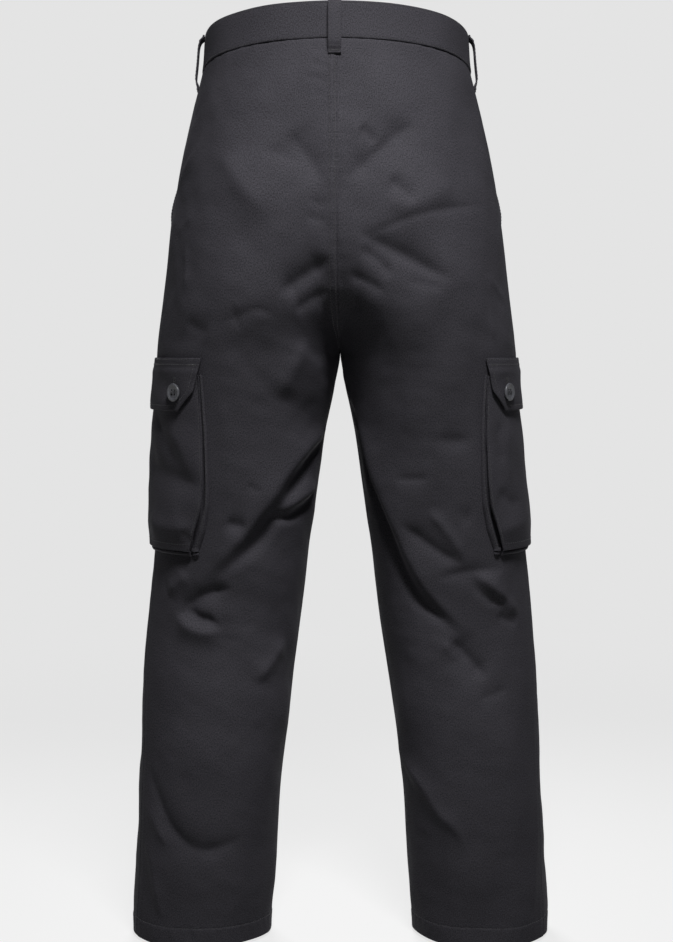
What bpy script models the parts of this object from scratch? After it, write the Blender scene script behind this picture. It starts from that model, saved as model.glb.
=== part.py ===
"""Cargo trousers in twill, filled out as on a wearer: a hollow waist and two hollow legs.

Metres, +Z up. The front faces -Y and the wearer's left is +X. The origin is the middle of the
waistband ring, where the wearer holds the trousers up.

Every piece is drawn on one skin. A point of the skin has a level h, its height at the middle of
the trousers, and a distance s round the cloth from the side seam, positive towards the back.
"""
from functools import lru_cache

import bpy
import bmesh
import numpy as np

MM = 0.001
SEAM = 0.3 * MM          # clearance between two pieces that are sewn or lie together
REST = 0.6 * MM          # clearance of a piece that lies on a panel, with room for both facets
CLOTH = 1.5 * MM         # wall of the panels
PANEL_COLUMNS = 16       # points across a panel

# waistband
BAND_TOP = 21 * MM
BAND_BOTTOM = -21 * MM
BAND_PROUD = 1.0 * MM    # how far the band stands out from the panels
BAND_WALL = 2.6 * MM
WAIST_TILT = 0.19        # the ring is higher at the back: rise per metre of depth
FLY_LAP = 40 * MM        # how far the band's right end reaches under its left end
BAND_COLUMNS = 34        # points along half of the band
BAND_STEP = (0.13, 0.01) # where the right end steps under the left: shares of half the girth

# levels
PANEL_TOP = BAND_BOTTOM - SEAM
CROTCH = -342 * MM
HEM = -1019 * MM
RISE_CURVE = 150 * MM    # the smaller, the flatter the seat seam runs into the crotch
SEAT_FILL = 1.2          # how much the cloth bridges the hollow between the two thighs
LEG_SWAY = -4.5 * MM     # both legs hang a little towards the wearer's right
OVAL_BACK = 2.05         # exponent of the leg's oval behind its middle, 2 is an ellipse
OVAL_FRONT = 2.2         # and in front of it
FOLD_FADE = 14 * MM      # folds fade out over this width beside the inner seams

# slanted hip pockets
MOUTH_END = -205 * MM
MOUTH_START = 56 * MM    # distance of the mouth's upper end from the side seam
MOUTH_LAP = 26 * MM      # how far the facing reaches under the front panel
MOUTH_GAPE = 3 * MM

# cargo pockets
POCKET_TOP = -364 * MM
POCKET_BOTTOM = -563 * MM
POCKET_TURN = 8 * MM     # the pockets sit this much further back on the left leg, forward on the right
GUSSET_FOOT = 5 * MM     # the gusset is sewn this far below the pocket's face
POCKET_WALL = 1.5 * MM
POCKET_SINK = 6 * MM    # the leg gives way this much under the pocket
FLAP_TOP = -345 * MM
FLAP_BOTTOM = -404 * MM
FLAP_WALL = 1.8 * MM
FLAP_BUTTON_X = 66 * MM
FLAP_BUTTON_H = -383 * MM

# half widths at a level, in mm: the pocket's face, the foot of its gusset, and the flap with its
# cut corners
POCKET_EDGES = np.array([
    (-364, 97, 101),
    (-430, 97, 101),
    (-480, 94, 98),
    (-510, 90, 96),
    (-540, 80, 89),
    (-563, 72, 80),
    (-568, 72, 80),
]) * MM
FLAP_EDGES = np.array([
    (-345, 103),
    (-382, 91),
    (-404, 69),
]) * MM

# belt loops
LOOP_HALF = 7.2 * MM
LOOP_WALL = 1.8 * MM
LOOP_FROM_FRONT = 95 * MM
LOOP_BACK_SHIFT = 2 * MM

# fly, behind the front panels
SHIELD_END = -196 * MM
SHIELD_WIDTHS = np.array([-30, -22, -15, -8, 0, 10, 20, 30]) * MM
SHIELD_DROP = 3.8 * MM   # the shield's middle lies this much deeper, behind the zip
SHIELD_WALL = 1.2 * MM
ZIP_TOP = -39 * MM
ZIP_END = -186 * MM
ZIP_WIDTHS = np.array([-11, -7, -3, 0, 3, 7, 11]) * MM
ZIP_DROP = 1.4 * MM
ZIP_WALL = 1.1 * MM
SLIDER_WIDTHS = np.array([-3.5, 0, 3.5]) * MM
SLIDER = np.array([       # level and thickness, mm: the body, then the flat pull below it
    (-25.0, 3.1), (-31.0, 3.4), (-37.5, 3.1), (-38.5, 1.0), (-50.0, 1.0), (-60.0, 1.0)]) * MM

# buttons
FLAP_BUTTON_R = 10 * MM
WAIST_BUTTON_R = 8.5 * MM
BUTTON_THICK = 3.2 * MM
BUTTON_SIDES = 20
BUTTON_PROFILE = (        # share of the radius and of the thickness, from the back to the face
    (0.0, 0.0), (0.88, 0.0), (1.0, 0.35), (0.97, 0.85), (0.85, 1.0), (0.70, 0.9),
    (0.62, 0.66), (0.0, 0.62))
WAIST_BUTTON_IN = 14 * MM # from the middle of the front

# level, outer edge x, inner edge x below the crotch, back y, front y,
# degrees of the side seam behind the pure side (lengths in mm)
SECTIONS = np.array([
    (30, 149, 0, 111, -107, 0),
    (21, 150, 0, 112, -108, 0),
    (-21, 153.5, 0, 117, -112, 0),
    (-48, 160, 0, 123, -116, 1),
    (-94, 170.5, 0, 134, -120, 3),
    (-140, 180, 0, 144, -123, 4),
    (-220, 192, 0, 152, -124, 6),
    (-290, 200.5, 0, 143, -119, 9),
    (-342, 207.5, 0, 127, -114, 10),
    (-380, 209, 7, 117, -113, 11),
    (-430, 210.5, 17, 106, -111, 12),
    (-500, 213, 27, 95, -105, 13),
    (-560, 217, 36, 83, -100, 13),
    (-606, 222, 41, 75, -98, 14),
    (-653, 227, 47, 71, -96, 15),
    (-701, 231, 54, 73, -92, 17),
    (-748, 233, 60, 78, -87, 20),
    (-844, 237, 72, 83, -80, 24),
    (-941, 242, 78, 82, -78, 26),
    (-1019, 246, 84, 80, -78, 27),
    (-1030, 246, 84, 80, -78, 27),
], dtype=float)
COLUMN = {"outer": 1, "inner": 2, "back": 3, "front": 4, "seam_angle": 5}

# The largest folds of each leg, lengths in mm. A fold runs from (s0, h0) to (s1, h1) and bows
# sideways by bow. It rises by lift over its half width, and dip is the depth of the valley along
# its right-hand side, or its left-hand side where dip is negative.
FOLD_COLUMNS = ("s0", "h0", "s1", "h1", "bow", "width", "lift", "dip")
FOLDS_LEFT = [
    # back of the leg, from the seat down
    (185, -121, 241, -176, 0, 14, -3.2, 0),
    (200, -278, 254, -246, 0, 12, -4.8, 0),
    (232, -328, 187, -391, 0, 16, 4.0, 0),
    (290, -424, 92, -596, -24, 17, 8.0, -6.4),
    (262, -492, 165, -522, 6, 14, 4.8, -3.2),
    (60, -652, 127, -648, -4, 13, 5.6, -6.4),
    (155, -716, 198, -668, 0, 14, 4.8, 0),
    (6, -805, 146, -889, -45, 12, -4.0, 0),
    (2, -896, 46, -991, 0, 12, 4.0, 0),
    # front of the leg
    (-352, -318, -215, -262, 6, 14, 4.8, 3.2),
    (-335, -398, -180, -492, 12, 16, 6.4, 4.8),
    (-118, -600, -262, -655, 10, 16, 5.6, -4.8),
    (-90, -700, -220, -742, -8, 15, 4.8, 3.2),
    (-55, -850, -190, -905, 16, 13, 4.0, 0),
]
FOLDS_RIGHT = [
    # back of the leg, from the seat down
    (244, -171, 149, -112, 0, 16, -4.8, 0),
    (240, -222, 132, -266, 0, 13, -6.4, 0),
    (292, -388, 104, -660, 2, 17, 9.6, -8),
    (184, -531, 109, -579, 0, 12, -4.0, 0),
    (92, -588, 35, -642, 0, 12, 4.8, 0),
    (128, -664, 84, -712, 0, 13, -4.8, 0),
    (208, -810, 109, -907, -13, 14, 4.8, 0),
    (8, -871, 20, -990, 0, 9, 4.8, 0),
    # front of the leg
    (-356, -322, -225, -276, -6, 14, 4.8, 3.2),
    (-330, -410, -150, -470, -10, 16, 5.6, 4.8),
    (-240, -575, -100, -632, 10, 16, 5.6, 4.8),
    (-225, -680, -110, -724, 6, 15, 4.8, -3.2),
    (-200, -820, -80, -880, -14, 13, 4.0, 0),
    (-60, -930, -150, -985, 0, 12, 4.0, 0),
]


def step(value, low, high):
    """0 up to low, 1 from high, and a smooth rise between."""
    t = np.clip((value - low) / (high - low), 0.0, 1.0)
    return t * t * (3.0 - 2.0 * t)


def column(name, h):
    """The value of one column of SECTIONS at level h, on a smooth curve through its rows."""
    levels = SECTIONS[::-1, 0] * MM
    values = SECTIONS[::-1, COLUMN[name]]
    slopes = np.gradient(values, levels)
    i = int(np.clip(np.searchsorted(levels, h) - 1, 0, len(levels) - 2))
    span = levels[i + 1] - levels[i]
    t = (h - levels[i]) / span
    a = (1 + 2 * t) * (1 - t) ** 2 * values[i] + t * (1 - t) ** 2 * span * slopes[i]
    b = t * t * (3 - 2 * t) * values[i + 1] + t * t * (t - 1) * span * slopes[i + 1]
    return a + b


def tilt(h):
    """How steeply level h rises towards the back."""
    return WAIST_TILT * step(h, CROTCH, -40 * MM)


@lru_cache(maxsize=None)
def outline(h):
    """Half of the section at level h: points from the inner back, round the side, to the inner
    front, with the distance s of each from the side seam."""
    outer = column("outer", h) * MM
    back = column("back", h) * MM
    front = column("front", h) * MM
    middle = (back + front) / 2
    depth = (back - front) / 2
    above = h - CROTCH
    if above >= 0:
        ratio = np.exp(-above / RISE_CURVE * (0.3 + 0.7 * step(above, 0, 70 * MM)))
        centre = outer * ratio / (1 + ratio)
        half = outer / (1 + ratio)
        fill = max(SEAT_FILL * ratio * (1 - ratio), 1e-6)
    else:
        inner = max(column("inner", h) * MM, SEAM / 2)
        centre = (outer + inner) / 2
        half = (outer - inner) / 2

    def oval(x, y, cx):
        power = np.where(y > middle, OVAL_BACK, OVAL_FRONT)
        u = np.abs(x - cx) / half
        v = np.abs(y - middle) / depth
        return (u ** power + v ** power) ** (1 / power) - 1

    def form(x, y):
        f = oval(x, y, centre)
        if above < 0:
            return f
        g = oval(x, y, -centre)
        near = np.maximum(fill - np.abs(f - g), 0)
        return np.minimum(f, g) - near * near / (4 * fill)

    def cross(x0, y0, dx, dy):
        low = np.zeros_like(dx)
        high = np.where(dx < 0, x0 / np.maximum(-dx, 1e-9), 0.4)
        for _ in range(40):
            mid = (low + high) / 2
            inside = form(x0 + mid * dx, y0 + mid * dy) < 0
            low = np.where(inside, mid, low)
            high = np.where(inside, high, mid)
        return low

    if above > 0:
        reach = cross(0.0, middle, np.zeros(2), np.array([1.0, -1.0]))
        first = np.arctan2(reach[0], -centre)
        last = -np.arctan2(reach[1], -centre)
    else:
        turn = np.radians(6) * step(-above, 0, 60 * MM)
        first = np.pi + turn
        last = -np.pi + turn
    seam = np.radians(column("seam_angle", h))
    angles = np.concatenate([np.linspace(first, seam, 121), np.linspace(seam, last, 121)[1:]])
    radius = cross(centre, middle, np.cos(angles), np.sin(angles))
    x = np.maximum(centre + radius * np.cos(angles), SEAM / 2)
    y = middle + radius * np.sin(angles)
    run = np.concatenate([[0], np.cumsum(np.hypot(np.diff(x), np.diff(y)))])
    s = run[120] - run
    normal = np.stack([-np.gradient(y), np.gradient(x)], axis=1)
    normal /= np.linalg.norm(normal, axis=1)[:, None]
    return s[::-1], x[::-1], y[::-1], normal[::-1]


def back_end(h):
    """Distance from the side seam to the seat seam or the inside leg, round the back."""
    return outline(h)[0][-1]


def front_end(h):
    """The same round the front, as a negative distance."""
    return outline(h)[0][0]


def fold_height(folds, h, s):
    """Sum of the folds at (s, h)."""
    total = np.zeros_like(s)
    for row in folds:
        fold = dict(zip(FOLD_COLUMNS, row))
        along = np.array([fold["s1"] - fold["s0"], fold["h1"] - fold["h0"]]) * MM
        length = np.hypot(*along)
        along /= length
        across = np.array([-along[1], along[0]])
        ds = s - fold["s0"] * MM
        dh = h - fold["h0"] * MM
        t = (ds * along[0] + dh * along[1]) / length
        d = ds * across[0] + dh * across[1] - fold["bow"] * MM * 4 * t * (1 - t)
        ends = step(t, -0.08, 0.25) * step(1 - t, -0.08, 0.25)
        q = d / (fold["width"] * MM)
        side = np.sign(fold["dip"]) if fold["dip"] else 1.0
        ridge = fold["lift"] * np.exp(-q * q)
        valley = abs(fold["dip"]) * np.exp(-((q + 1.5 * side) / 1.1) ** 2)
        total += (ridge - valley) * MM * ends
    return total


def half_width(edges, h, part=1):
    """Half width at level h from one of the tables of edges."""
    return np.interp(-h, -edges[:, 0], edges[:, part])


def relief(side, h, s):
    """How far the cloth at (s, h) stands out from the smooth form."""
    across = np.abs(s - side * POCKET_TURN)
    ends = step(back_end(h) - s, 0, FOLD_FADE) * step(s - front_end(h), 0, FOLD_FADE)
    folds = fold_height(FOLDS_LEFT if side > 0 else FOLDS_RIGHT, h, s)
    sewn = step(half_width(POCKET_EDGES, h, 2) + 28 * MM - across, 0, 22 * MM)
    sewn *= step(h, POCKET_BOTTOM - 32 * MM, POCKET_BOTTOM - 10 * MM)
    sewn *= step(-h, -FLAP_TOP - 24 * MM, -FLAP_TOP - 4 * MM)
    pocket = step(half_width(POCKET_EDGES, h) - across, 0, 30 * MM)
    pocket *= step(h, POCKET_BOTTOM, POCKET_BOTTOM + 25 * MM)
    pocket *= step(-h, -POCKET_TOP - 16 * MM, -POCKET_TOP + 4 * MM)
    return folds * ends * (1 - sewn) - POCKET_SINK * pocket


def sway(h, x):
    """Sideways shift of the legs at level h, for a point x from the middle plane. It starts higher
    up on the inside of the legs than on their outside."""
    share = np.clip(x / (column("outer", h) * MM), 0, 1)
    inside = step(-h, 240 * MM, 350 * MM) + 0.6 * step(-h, 660 * MM, 800 * MM)
    outside = step(-h, 400 * MM, 590 * MM)
    return LEG_SWAY * (inside + (outside - inside) * share)


def skin(side, h, s, smooth=False):
    """Points of the outer cloth at level h and distances s, for side +1 (left) or -1 (right).
    A smooth skin leaves out the folds and the hollow under the pocket."""
    s_line, x_line, y_line, normal = outline(float(h))
    s = np.clip(np.asarray(s, dtype=float), s_line[0], s_line[-1])
    x = np.interp(s, s_line, x_line)
    y = np.interp(s, s_line, y_line)
    out = 0.0 * s if smooth else relief(side, h, s)
    x = np.maximum(x + out * np.interp(s, s_line, normal[:, 0]), SEAM / 2)
    y = y + out * np.interp(s, s_line, normal[:, 1])
    return np.stack([side * x + sway(h, x), y, h + tilt(h) * y], axis=1)


def facing(side, h, s, smooth=False):
    """Points of the skin and the directions that point out of the cloth there."""
    tiny = 1 * MM
    here = skin(side, h, s, smooth)
    low = max(h - tiny, HEM - 8 * MM)
    high = h + tiny
    inside_high = (s <= back_end(high)) & (s >= front_end(high))
    down = skin(side, low, s, smooth)
    up = np.where(inside_high[:, None], skin(side, high, s, smooth), here)
    rise = up - down
    round_s = skin(side, h, s + tiny, smooth) - skin(side, h, s - tiny, smooth)
    out = np.cross(round_s, rise) * side
    return here, out / np.linalg.norm(out, axis=1)[:, None]


def layer(side, levels, spans, out, smooth=False):
    """A grid of points. spans(h) gives the distances s of a row, and out(h, s) how far the row
    stands off the skin."""
    rows = []
    for h in levels:
        s = spans(h)
        point, normal = facing(side, h, s, smooth)
        rows.append(point + normal * np.broadcast_to(out(h, s), s.shape)[:, None])
    return np.array(rows)


def wall(name, outer, inner, material):
    """One closed body between two grids of points, joined round their edges."""
    rows, cols = outer.shape[:2]
    mesh = bpy.data.meshes.new(name)
    bm = bmesh.new()
    skins = []
    for grid in (outer, inner):
        skins.append([[bm.verts.new(grid[r, c]) for c in range(cols)] for r in range(rows)])
    for r in range(rows - 1):
        for c in range(cols - 1):
            a, b = skins
            bm.faces.new((a[r][c], a[r][c + 1], a[r + 1][c + 1], a[r + 1][c]))
            bm.faces.new((b[r][c], b[r + 1][c], b[r + 1][c + 1], b[r][c + 1]))
    rim = [(r, 0) for r in range(rows)] + [(rows - 1, c) for c in range(1, cols)]
    rim += [(r, cols - 1) for r in range(rows - 2, -1, -1)]
    rim += [(0, c) for c in range(cols - 2, 0, -1)]
    for (r0, c0), (r1, c1) in zip(rim, rim[1:] + rim[:1]):
        a, b = skins
        bm.faces.new((a[r0][c0], a[r1][c1], b[r1][c1], b[r0][c0]))
    bmesh.ops.recalc_face_normals(bm, faces=bm.faces)
    bmesh.ops.triangulate(bm, faces=bm.faces)
    bm.to_mesh(mesh)
    bm.free()
    mesh.materials.append(material)
    piece = bpy.data.objects.new(name, mesh)
    bpy.context.scene.collection.objects.link(piece)
    return piece


def finish(name, colour, roughness, metallic=0.0):
    """A Principled material."""
    material = bpy.data.materials.new(name)
    material.use_nodes = True
    shader = material.node_tree.nodes["Principled BSDF"]
    shader.inputs["Base Color"].default_value = (*colour, 1.0)
    shader.inputs["Roughness"].default_value = roughness
    shader.inputs["Metallic"].default_value = metallic
    return material


# ---------------------------------------------------------------- levels of the panels
def panel_levels(top):
    """Rows of a panel: even down to the seat, close above the crotch, even down the leg."""
    squares = [CROTCH + 2.6 * MM * i * i for i in range(7)]
    upper = np.linspace(top, squares[-1], 9)[:-1]
    lower = np.linspace(CROTCH, HEM, 24)[1:]
    return list(upper) + squares[::-1] + list(lower)


def mouth_edge(h):
    """Distance s of the slanted pocket mouth, the front panel's outer edge above MOUTH_END."""
    t = np.clip((h - MOUTH_END) / (PANEL_TOP - MOUTH_END), 0, 1)
    return -(SEAM / 2 + MOUTH_START * t ** 1.1)


def mouth_gape(h, s):
    """The front panel stands open a little along the lower half of the mouth."""
    along = step(h, MOUTH_END + 2 * MM, MOUTH_END + 25 * MM)
    along *= step(-h, -MOUTH_END - 80 * MM, -MOUTH_END - 30 * MM)
    return MOUTH_GAPE * along * step(s - mouth_edge(h), -30 * MM, 0)


def spread(h, end, count):
    """Distances from the side seam to the inner seam. Just above the crotch, where the inner seam
    moves fast from level to level, only the columns next to it move with it."""
    near = 1 - step(h, CROTCH, CROTCH + 150 * MM)
    shift = (end(h) - end(CROTCH)) * near * (h > CROTCH)
    t = np.linspace(0, 1, count)
    return t * (end(h) - shift) + shift * t ** 4


def make_back(side, name, material):
    levels = panel_levels(PANEL_TOP)

    def spans(h):
        s = spread(h, back_end, PANEL_COLUMNS)
        return np.clip(s, SEAM / 2, back_end(h) - SEAM / 2)

    outer = layer(side, levels, spans, lambda h, s: 0 * s)
    inner = layer(side, levels, spans, lambda h, s: 0 * s - CLOTH)
    inner[:, :, 0] = keep_side(side, inner, levels)
    return wall(name, outer, inner, material)


def keep_side(side, grid, levels):
    """x of a grid's points, none past the middle plane of the trousers."""
    middle = np.array([sway(h, 0.0) for h in levels])[:, None]
    return side * np.maximum(side * (grid[:, :, 0] - middle), SEAM / 2) + middle


def make_front(side, name, material):
    levels = panel_levels(PANEL_TOP)

    def spans(h):
        s = spread(h, front_end, PANEL_COLUMNS)[::-1]
        share = s / front_end(h)
        return mouth_edge(h) + share * (front_end(h) + SEAM / 2 - mouth_edge(h))

    outer = layer(side, levels, spans, mouth_gape)
    inner = layer(side, levels, spans, lambda h, s: mouth_gape(h, s) - CLOTH)
    inner[:, :, 0] = keep_side(side, inner, levels)
    return wall(name, outer, inner, material)


def make_hip_facing(side, name, material):
    levels = np.linspace(PANEL_TOP, MOUTH_END + 2 * MM, 9)

    def spans(h):
        return np.linspace(mouth_edge(h) - MOUTH_LAP, -SEAM / 2, 7)

    def out(h, s):
        under = CLOTH + REST
        return -under * (1 - step(s - mouth_edge(h), 3 * MM, 18 * MM))

    outer = layer(side, levels, spans, out)
    inner = layer(side, levels, spans, lambda h, s: out(h, s) - CLOTH)
    return wall(name, outer, inner, material)


# ---------------------------------------------------------------- strips that cross the middle
def across_middle(h, w, end):
    """Points and directions at signed distances w from the middle seam, positive to the left.
    end is front_end or back_end."""
    points = np.empty((len(w), 3))
    normals = np.empty((len(w), 3))
    for side in (1, -1):
        pick = w * side > 0
        s = end(h) - np.sign(end(h)) * np.abs(w[pick])
        points[pick], normals[pick] = facing(side, h, s)
    pick = w == 0
    if pick.any():
        s = np.array([end(h)])
        left = facing(1, h, s)
        right = facing(-1, h, s)
        points[pick] = (left[0] + right[0]) / 2
        mean = left[1] + right[1]
        normals[pick] = mean / np.linalg.norm(mean)
    return points, normals


def strip(levels, widths, end, out):
    """A grid across the middle seam, out(h, w) off the skin."""
    rows = []
    for h in levels:
        point, normal = across_middle(h, widths, end)
        rows.append(point + normal * np.broadcast_to(out(h, widths), widths.shape)[:, None])
    return np.array(rows)


def make_waistband(name, material):
    """One strip from the left end at the fly, round the back, to the right end under it."""
    levels = [BAND_TOP, 0.0, BAND_BOTTOM]
    rows_out = []
    rows_in = []
    for h in levels:
        reach = back_end(h) - front_end(h)
        left = np.linspace(front_end(h) + SEAM / 2, back_end(h), BAND_COLUMNS)
        point_l, normal_l = facing(1, h, left)
        right = left[::-1][1:]
        point_r, normal_r = facing(-1, h, right)
        middle = normal_l[-1] + facing(-1, h, left[-1:])[1][0]
        point_l[-1, 0] = 0.0
        normal_l[-1] = middle / np.linalg.norm(middle)
        under = np.linspace(6 * MM, FLY_LAP, 4)
        point_u, normal_u = facing(1, h, front_end(h) + under)
        points = np.concatenate([point_l, point_r, point_u])
        normals = np.concatenate([normal_l, normal_r, normal_u])
        drop = np.concatenate([
            np.zeros(BAND_COLUMNS),
            step(front_end(h) - right, -reach * BAND_STEP[0], -reach * BAND_STEP[1]),
            np.ones(len(under))])
        lowered = (BAND_WALL + SEAM) * drop
        rows_out.append(points + normals * (BAND_PROUD - lowered)[:, None])
        rows_in.append(points + normals * (BAND_PROUD - lowered - BAND_WALL)[:, None])
    return wall(name, np.array(rows_out), np.array(rows_in), material)


def make_fly(shade, zip_tape, metal):
    """The shield, the zip and its slider, which lie behind the closed fly."""
    first = -(CLOTH + REST)

    def shield_out(h, w):
        return first - SHIELD_DROP * step(w, -22 * MM, -12 * MM)

    levels = np.linspace(PANEL_TOP - 2 * MM, SHIELD_END, 9)
    wall("fly_shield", strip(levels, SHIELD_WIDTHS, front_end, shield_out),
         strip(levels, SHIELD_WIDTHS, front_end, lambda h, w: shield_out(h, w) - SHIELD_WALL), shade)

    def tape_out(h, w):
        return first - ZIP_DROP * step(-np.abs(w), -10 * MM, -4 * MM)

    levels = np.linspace(ZIP_TOP, ZIP_END, 9)
    wall("fly_zip", strip(levels, ZIP_WIDTHS, front_end, tape_out),
         strip(levels, ZIP_WIDTHS, front_end, lambda h, w: tape_out(h, w) - ZIP_WALL), zip_tape)

    thickness = dict(SLIDER)
    wall("zip_slider", strip(SLIDER[:, 0], SLIDER_WIDTHS, front_end, lambda h, w: first),
         strip(SLIDER[:, 0], SLIDER_WIDTHS, front_end, lambda h, w: first - thickness[h]), metal)


# ---------------------------------------------------------------- belt loops
LOOP_PATH = np.array([   # level and distance of the loop's inner face off the skin, mm
    (22.0, 1.3), (19.5, 1.4), (17.0, 4.8), (11.0, 6.7), (-2.0, 7.1), (-18.0, 7.2),
    (-29.0, 6.1), (-33.5, 2.9), (-36.0, 0.6), (-40.0, 0.4)]) * MM


def make_loop(name, place, material):
    """A strap that stands off the waistband. place(h, w) gives points and directions."""
    widths = np.array([-LOOP_HALF, 0.0, LOOP_HALF])
    outer = []
    inner = []
    for h, off in LOOP_PATH:
        point, normal = place(h, widths)
        flat = normal[1]
        inner.append(point + flat * off)
        outer.append(point + flat * (off + LOOP_WALL))
    return wall(name, np.array(outer), np.array(inner), material)


def make_loops(material):
    def back(h, w):
        return across_middle(h, w + LOOP_BACK_SHIFT, back_end)

    loops = [make_loop("belt_loop_back", back, material)]
    for side, word in ((1, "left"), (-1, "right")):
        loops.append(make_loop(f"belt_loop_side_{word}", lambda h, w: facing(side, h, w), material))
        loops.append(make_loop(f"belt_loop_front_{word}", lambda h, w: facing(
            side, h, front_end(h) + LOOP_FROM_FRONT + w), material))
    return loops


# ---------------------------------------------------------------- cargo pockets
def pocket_stand(h):
    """How far the pocket's face stands off the leg: little at the mouth, most at the bottom."""
    swell = 5.7 * step(-h, -POCKET_TOP, -POCKET_TOP + 115 * MM)
    return (2.0 + swell - 1.5 * step(-h, -POCKET_BOTTOM - 40 * MM, -POCKET_BOTTOM)) * MM


def make_pocket(side, name, material):
    """A tray of cloth, open at the top: the face, and a gusset down to the leg on three sides."""
    face = np.linspace(-1, 1, 13)
    levels = list(np.linspace(POCKET_TOP, POCKET_BOTTOM, 11))

    def row(level, inset, off):
        half = half_width(POCKET_EDGES, level) - inset
        foot = half_width(POCKET_EDGES, level, 2) - inset
        s = np.concatenate([[-foot], face * half, [foot]]) + side * POCKET_TURN
        point, normal = facing(side, level, s, smooth=True)
        off = np.concatenate([[REST], np.full(len(face), off), [REST]])
        return point + normal * off[:, None]

    def grid(inset, drop):
        bottom = POCKET_BOTTOM + inset
        rows = [row(max(h, bottom), inset, pocket_stand(max(h, bottom)) - drop) for h in levels]
        return np.array(rows + [row(bottom - GUSSET_FOOT, inset, REST)])

    return wall(name, grid(0.0, 0.0), grid(POCKET_WALL, POCKET_WALL), material)


def flap_stand(h):
    """How far the flap's inner face stands off the leg."""
    lift = 2.3 * MM * step(-h, -FLAP_TOP + 4 * MM, -POCKET_TOP - 2 * MM)
    return REST + lift + 2.6 * MM * step(-h, -POCKET_TOP, -FLAP_BOTTOM)


def make_flap(side, name, material):
    """A flap whose two lower corners are cut off."""
    levels = [FLAP_TOP, FLAP_TOP - 5 * MM, FLAP_TOP - 10 * MM, POCKET_TOP + 3 * MM,
              POCKET_TOP - 8 * MM, FLAP_EDGES[1, 0], (FLAP_EDGES[1, 0] + FLAP_BOTTOM) / 2,
              FLAP_BOTTOM]

    def spans(h):
        return np.linspace(-1, 1, 15) * half_width(FLAP_EDGES, h) + side * POCKET_TURN

    outer = layer(side, levels, spans, lambda h, s: flap_stand(h) + FLAP_WALL, smooth=True)
    inner = layer(side, levels, spans, lambda h, s: flap_stand(h), smooth=True)
    return wall(name, outer, inner, material)


# ---------------------------------------------------------------- buttons
def make_button(name, seat, normal, radius, material):
    """A round button with a raised rim and a dished middle, its flat back at seat."""
    normal = normal / np.linalg.norm(normal)
    across = np.cross(normal, (0.0, 0.0, 1.0))
    across /= np.linalg.norm(across)
    up = np.cross(across, normal)
    mesh = bpy.data.meshes.new(name)
    bm = bmesh.new()
    rings = []
    for r, z in BUTTON_PROFILE:
        base = seat + normal * z * BUTTON_THICK
        if r == 0:
            rings.append([bm.verts.new(base)] * BUTTON_SIDES)
            continue
        ring = []
        for i in range(BUTTON_SIDES):
            turn = 2 * np.pi * i / BUTTON_SIDES
            offset = (across * np.cos(turn) + up * np.sin(turn)) * r * radius
            ring.append(bm.verts.new(base + offset))
        rings.append(ring)
    for low, high in zip(rings, rings[1:]):
        for i in range(BUTTON_SIDES):
            j = (i + 1) % BUTTON_SIDES
            corners = []
            for vert in (low[i], low[j], high[j], high[i]):
                if vert not in corners:
                    corners.append(vert)
            bm.faces.new(corners)
    bmesh.ops.recalc_face_normals(bm, faces=bm.faces)
    bm.to_mesh(mesh)
    bm.free()
    mesh.materials.append(material)
    mesh.shade_smooth()
    mesh.set_sharp_from_angle(angle=np.radians(40))
    piece = bpy.data.objects.new(name, mesh)
    bpy.context.scene.collection.objects.link(piece)
    return piece


def seat_on(place, side, h, s, reach):
    """Middle of a piece that lies at (h, s) on the surface place(h, s), and the direction that
    points out of that surface."""
    left, right = place(h, s - reach), place(h, s + reach)
    low, high = place(h - reach, s), place(h + reach, s)
    normal = np.cross(right - left, high - low) * side
    normal /= np.linalg.norm(normal)
    return place(h, s) + normal * REST, normal


def make_buttons(material):
    for side, word in ((1, "left"), (-1, "right")):
        def flap_face(h, s):
            point, normal = facing(side, h, np.array([s]), smooth=True)
            return point[0] + normal[0] * (flap_stand(h) + FLAP_WALL)

        for end, where in ((1, "back"), (-1, "front")):
            place = end * FLAP_BUTTON_X + side * POCKET_TURN
            seat, normal = seat_on(flap_face, side, FLAP_BUTTON_H, place, 8 * MM)
            make_button(f"flap_button_{word}_{where}", seat, normal, FLAP_BUTTON_R, material)

    def band_face(h, s):
        point, normal = facing(1, h, np.array([s]))
        return point[0] + normal[0] * BAND_PROUD

    place = front_end(0.0) + WAIST_BUTTON_IN
    seat, normal = seat_on(band_face, 1, 0.0, place, 7 * MM)
    make_button("waist_button", seat, normal, WAIST_BUTTON_R, material)


def main():
    for old in list(bpy.data.objects):
        bpy.data.objects.remove(old)
    twill = finish("cotton twill", (0.031, 0.029, 0.034), 0.86)
    lining = finish("pocket twill", (0.026, 0.025, 0.029), 0.88)
    tape = finish("zip tape", (0.018, 0.018, 0.019), 0.8)
    metal = finish("blackened zinc", (0.11, 0.11, 0.115), 0.42, 0.9)
    plastic = finish("button resin", (0.052, 0.053, 0.058), 0.36)
    for side, word in ((1, "left"), (-1, "right")):
        make_back(side, f"back_panel_{word}", twill)
        make_front(side, f"front_panel_{word}", twill)
        make_hip_facing(side, f"hip_facing_{word}", lining)
        make_pocket(side, f"cargo_pocket_{word}", twill)
        make_flap(side, f"cargo_flap_{word}", twill)
    make_waistband("waistband", twill)
    make_fly(twill, tape, metal)
    make_loops(twill)
    make_buttons(plastic)


main()
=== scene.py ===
# %% [markdown]
# # Cargo trousers in charcoal twill
#
# A pair of trousers is a handful of flat panels, and nearly all of its look comes from how the
# cloth lies: where it is sewn, where it hangs free and where it is pushed into folds. In this
# lesson every panel is a thin closed shell whose points follow one rule, the skin, so that seams
# meet and pockets, loops and stitches can be laid on the cloth by asking the same rule.
#
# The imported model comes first. It is the fixed frame: its nodes tell where everything goes, and
# the pieces made here stand for them.

# %% Load the frame
from functools import lru_cache

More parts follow.
